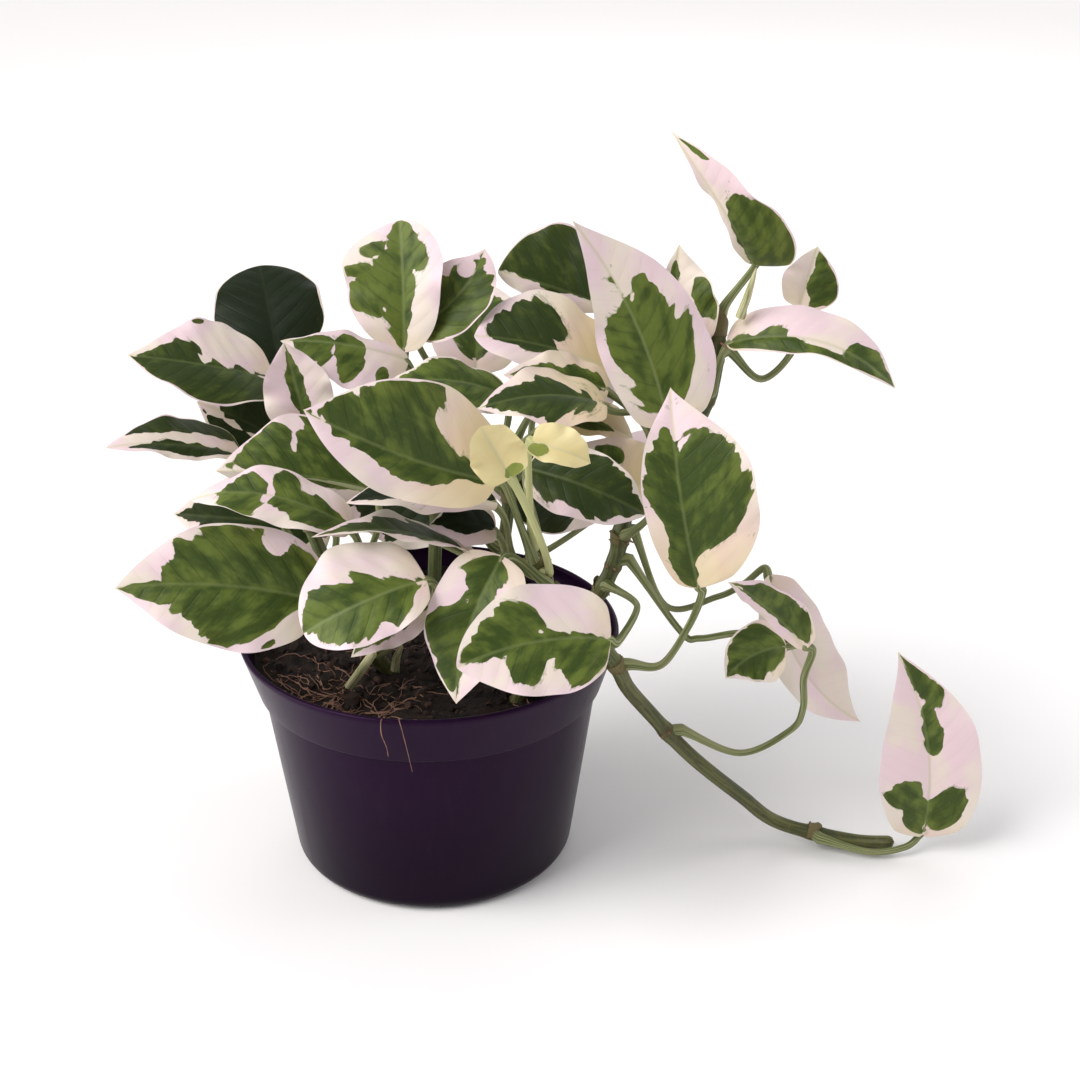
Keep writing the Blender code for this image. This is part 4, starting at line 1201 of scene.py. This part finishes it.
leaf(
    "trailing_leaf_2", "vine_tall", 1, (110, -22, 82), (92, -24, 72), 20, (-1, -10, 3),
    green=[(0.5, 0.1, 0.5, 0.85)], arch=-2, sway=2, widest=0.35, along=0.2,
    via=[(79, -8, 80), (85, -9, 78), (98, -15, 83)],
)
leaf(
    "trailing_leaf_3", "vine_tall", 3, (107, -3, 96), (138, -6, 46), 24, (5, -8, 3), arch=1, sway=8,
    sides=(1.2, 0.8), widest=0.45, point=1.3, via=[(75, 4, 83), (91, 4, 86), (99, 1, 92)],
)
leaf(
    "trailing_leaf_4", "vine_trailing", 2, (160, -14, 10), (147, -10, 74), 34, (1, -10, 1),
    green=[
        (0.84, 0.42, 0.15, 0.5), (0.54, 0.14, 0.15, 0.2), (0.13, 0.45, 0.11, 0.42),
        (0.24, -0.48, 0.09, 0.36), (0.1, -0.28, 0.1, 0.36),
    ],
    arch=1, sway=5, widest=0.32, heel=0.27, lobe=0.04, point=1.3, via=[(142, -16, 3), (154, -15, 4)],
)
leaf(
    "front_leaf_5", "vine_tall", 0, (55, -62, 106), (12, -75, 104), 32, (2, -8, 6),
    green=[
        (0.7, 0.3, 0.25, 0.52), (0.18, -0.38, 0.21, 0.5),
        (0.6, -0.35, 0.15, 0.4), (0.4, -0.12, 0.2, 0.26),
    ],
    cream=[(0.43, -0.85, 0.05, 0.35)], arch=2, sway=3, widest=0.44, heel=0.26, lobe=0, point=0.8,
    via=[(63, -28, 101), (63, -42, 104)],
)
leaf(
    "rear_leaf_1", "vine_back", 3, (-18, 50, 130), (-54, 72, 96), 36, (-5, 6, 4),
    green=[(0.45, 0.1, 0.42, 0.6), (0.75, -0.3, 0.15, 0.3)], arch=6,
)
leaf(
    "rear_leaf_2", "vine_rear", 2, (4, 58, 128), (-8, 100, 98), 37, (-2, 7, 5),
    green=[(0.45, -0.2, 0.42, 0.7), (0.7, 0.4, 0.15, 0.3)], cream=[(0.3, 0.8, 0.15, 0.4)], arch=6,
)
leaf(
    "rear_leaf_3", "vine_rear", 3, (34, 56, 136), (58, 94, 112), 34, (1, 7, 5),
    green=[(0.5, -0.2, 0.4, 0.6), (0.25, 0.4, 0.15, 0.4)], arch=5,
)
leaf(
    "rear_leaf_4", "vine_tall", 4, (62, 36, 120), (106, 58, 110), 31, (2, 2, 8),
    green=[(0.4, 0.3, 0.4, 0.5)], arch=5,
)
leaf(
    "rear_leaf_5", "vine_rear", 4, (14, 46, 146), (16, 80, 166), 32, (0, -4, 8),
    green=[(0.5, 0.1, 0.4, 0.6)], arch=3,
)
leaf(
    "rear_leaf_6", "vine_far_left", 0, (-34, 30, 98), (-84, 28, 104), 32, (0, -8, 5),
    green=[(0.5, 0, 0.48, 0.9)], dark=0.7, arch=3,
)
leaf(
    "rear_leaf_7", "vine_rear", 0, (58, 50, 104), (18, 56, 100), 32, (0, -8, 5),
    green=[(0.5, 0, 0.48, 0.9)], dark=0.8, arch=2,
)
leaf(
    "rear_leaf_8", "vine_rear", 1, (12, 38, 101), (-34, 42, 104), 30, (0, -8, 5),
    green=[(0.5, 0, 0.48, 0.9)], dark=0.8, arch=-2,
)


# Young growth: the stub of a cut stalk, a sprout in front of it, and a leaf at the top that is still
# rolled into a spike. Each is soft pale tissue.

SHOOT_SIDES = 24

shoot_skin = Finish("shoot_skin", specular_ior_level=0.4, subsurface_weight=0.15, subsurface_scale=0.001)
run_of, round_x, round_y = shoot_skin.attribute("stem").parts()
ribs = shoot_skin.noise((run_of * 0.08, round_x * 2, round_y * 2), 1.0, 3.0, 0.6)
_, _, shoot_height = shoot_skin.place().parts()
shoot_green = shoot_skin.mix(shoot_skin.step(ribs, 0.38, 0.62), (0.26, 0.29, 0.11), (0.62, 0.57, 0.36))
shoot_skin.set(base_color=shoot_green, roughness=0.42 + ribs * 0.15)
shoot_skin.bump(ribs, 0.2, 0.5)


def shoot(name, radius, route, flat, tip_radius, roll=0.0):
    """A short stem: an oval tube that narrows to its end, with a rolled edge that winds up it."""
    line = smooth_curve(route, 14)
    reach = share_along(line)
    taper = radius * (1 + (tip_radius - 1) * reach**2) * np.sqrt(1 - np.clip(reach - 0.9, 0, 1) ** 2 * 60)
    turn = full_turn(SHOOT_SIDES)
    winding = 1 + roll * (((turn / (2 * math.pi) + reach[:, None] * 0.6) % 1.0) - 0.5)
    rings = swollen(line, tube_rings(line, taper, SHOOT_SIDES, flat=flat), winding)
    values = {"stem": surface_values(reach[:, None] * 20, np.cos(turn), np.sin(turn))}
    new_piece(name, [closed_loft(rings)], shoot_skin, name, values=values, sharp=50)


shoot("stub", 1.6, [(-23, -29, 72), (-19, -34, 80), (-14, -42, 91)], flat=0.6, tip_radius=0.85)
shoot("sprout", 1.4, [(-10, -18, 72), (-9, -21, 78), (-7, -25, 84)], flat=0.8, tip_radius=0.4)
shoot("rolled_leaf", 1.4, [(95, 10, 177), (97, 9, 184), (99, 8, 193)], flat=0.9, tip_radius=0.2, roll=0.35)
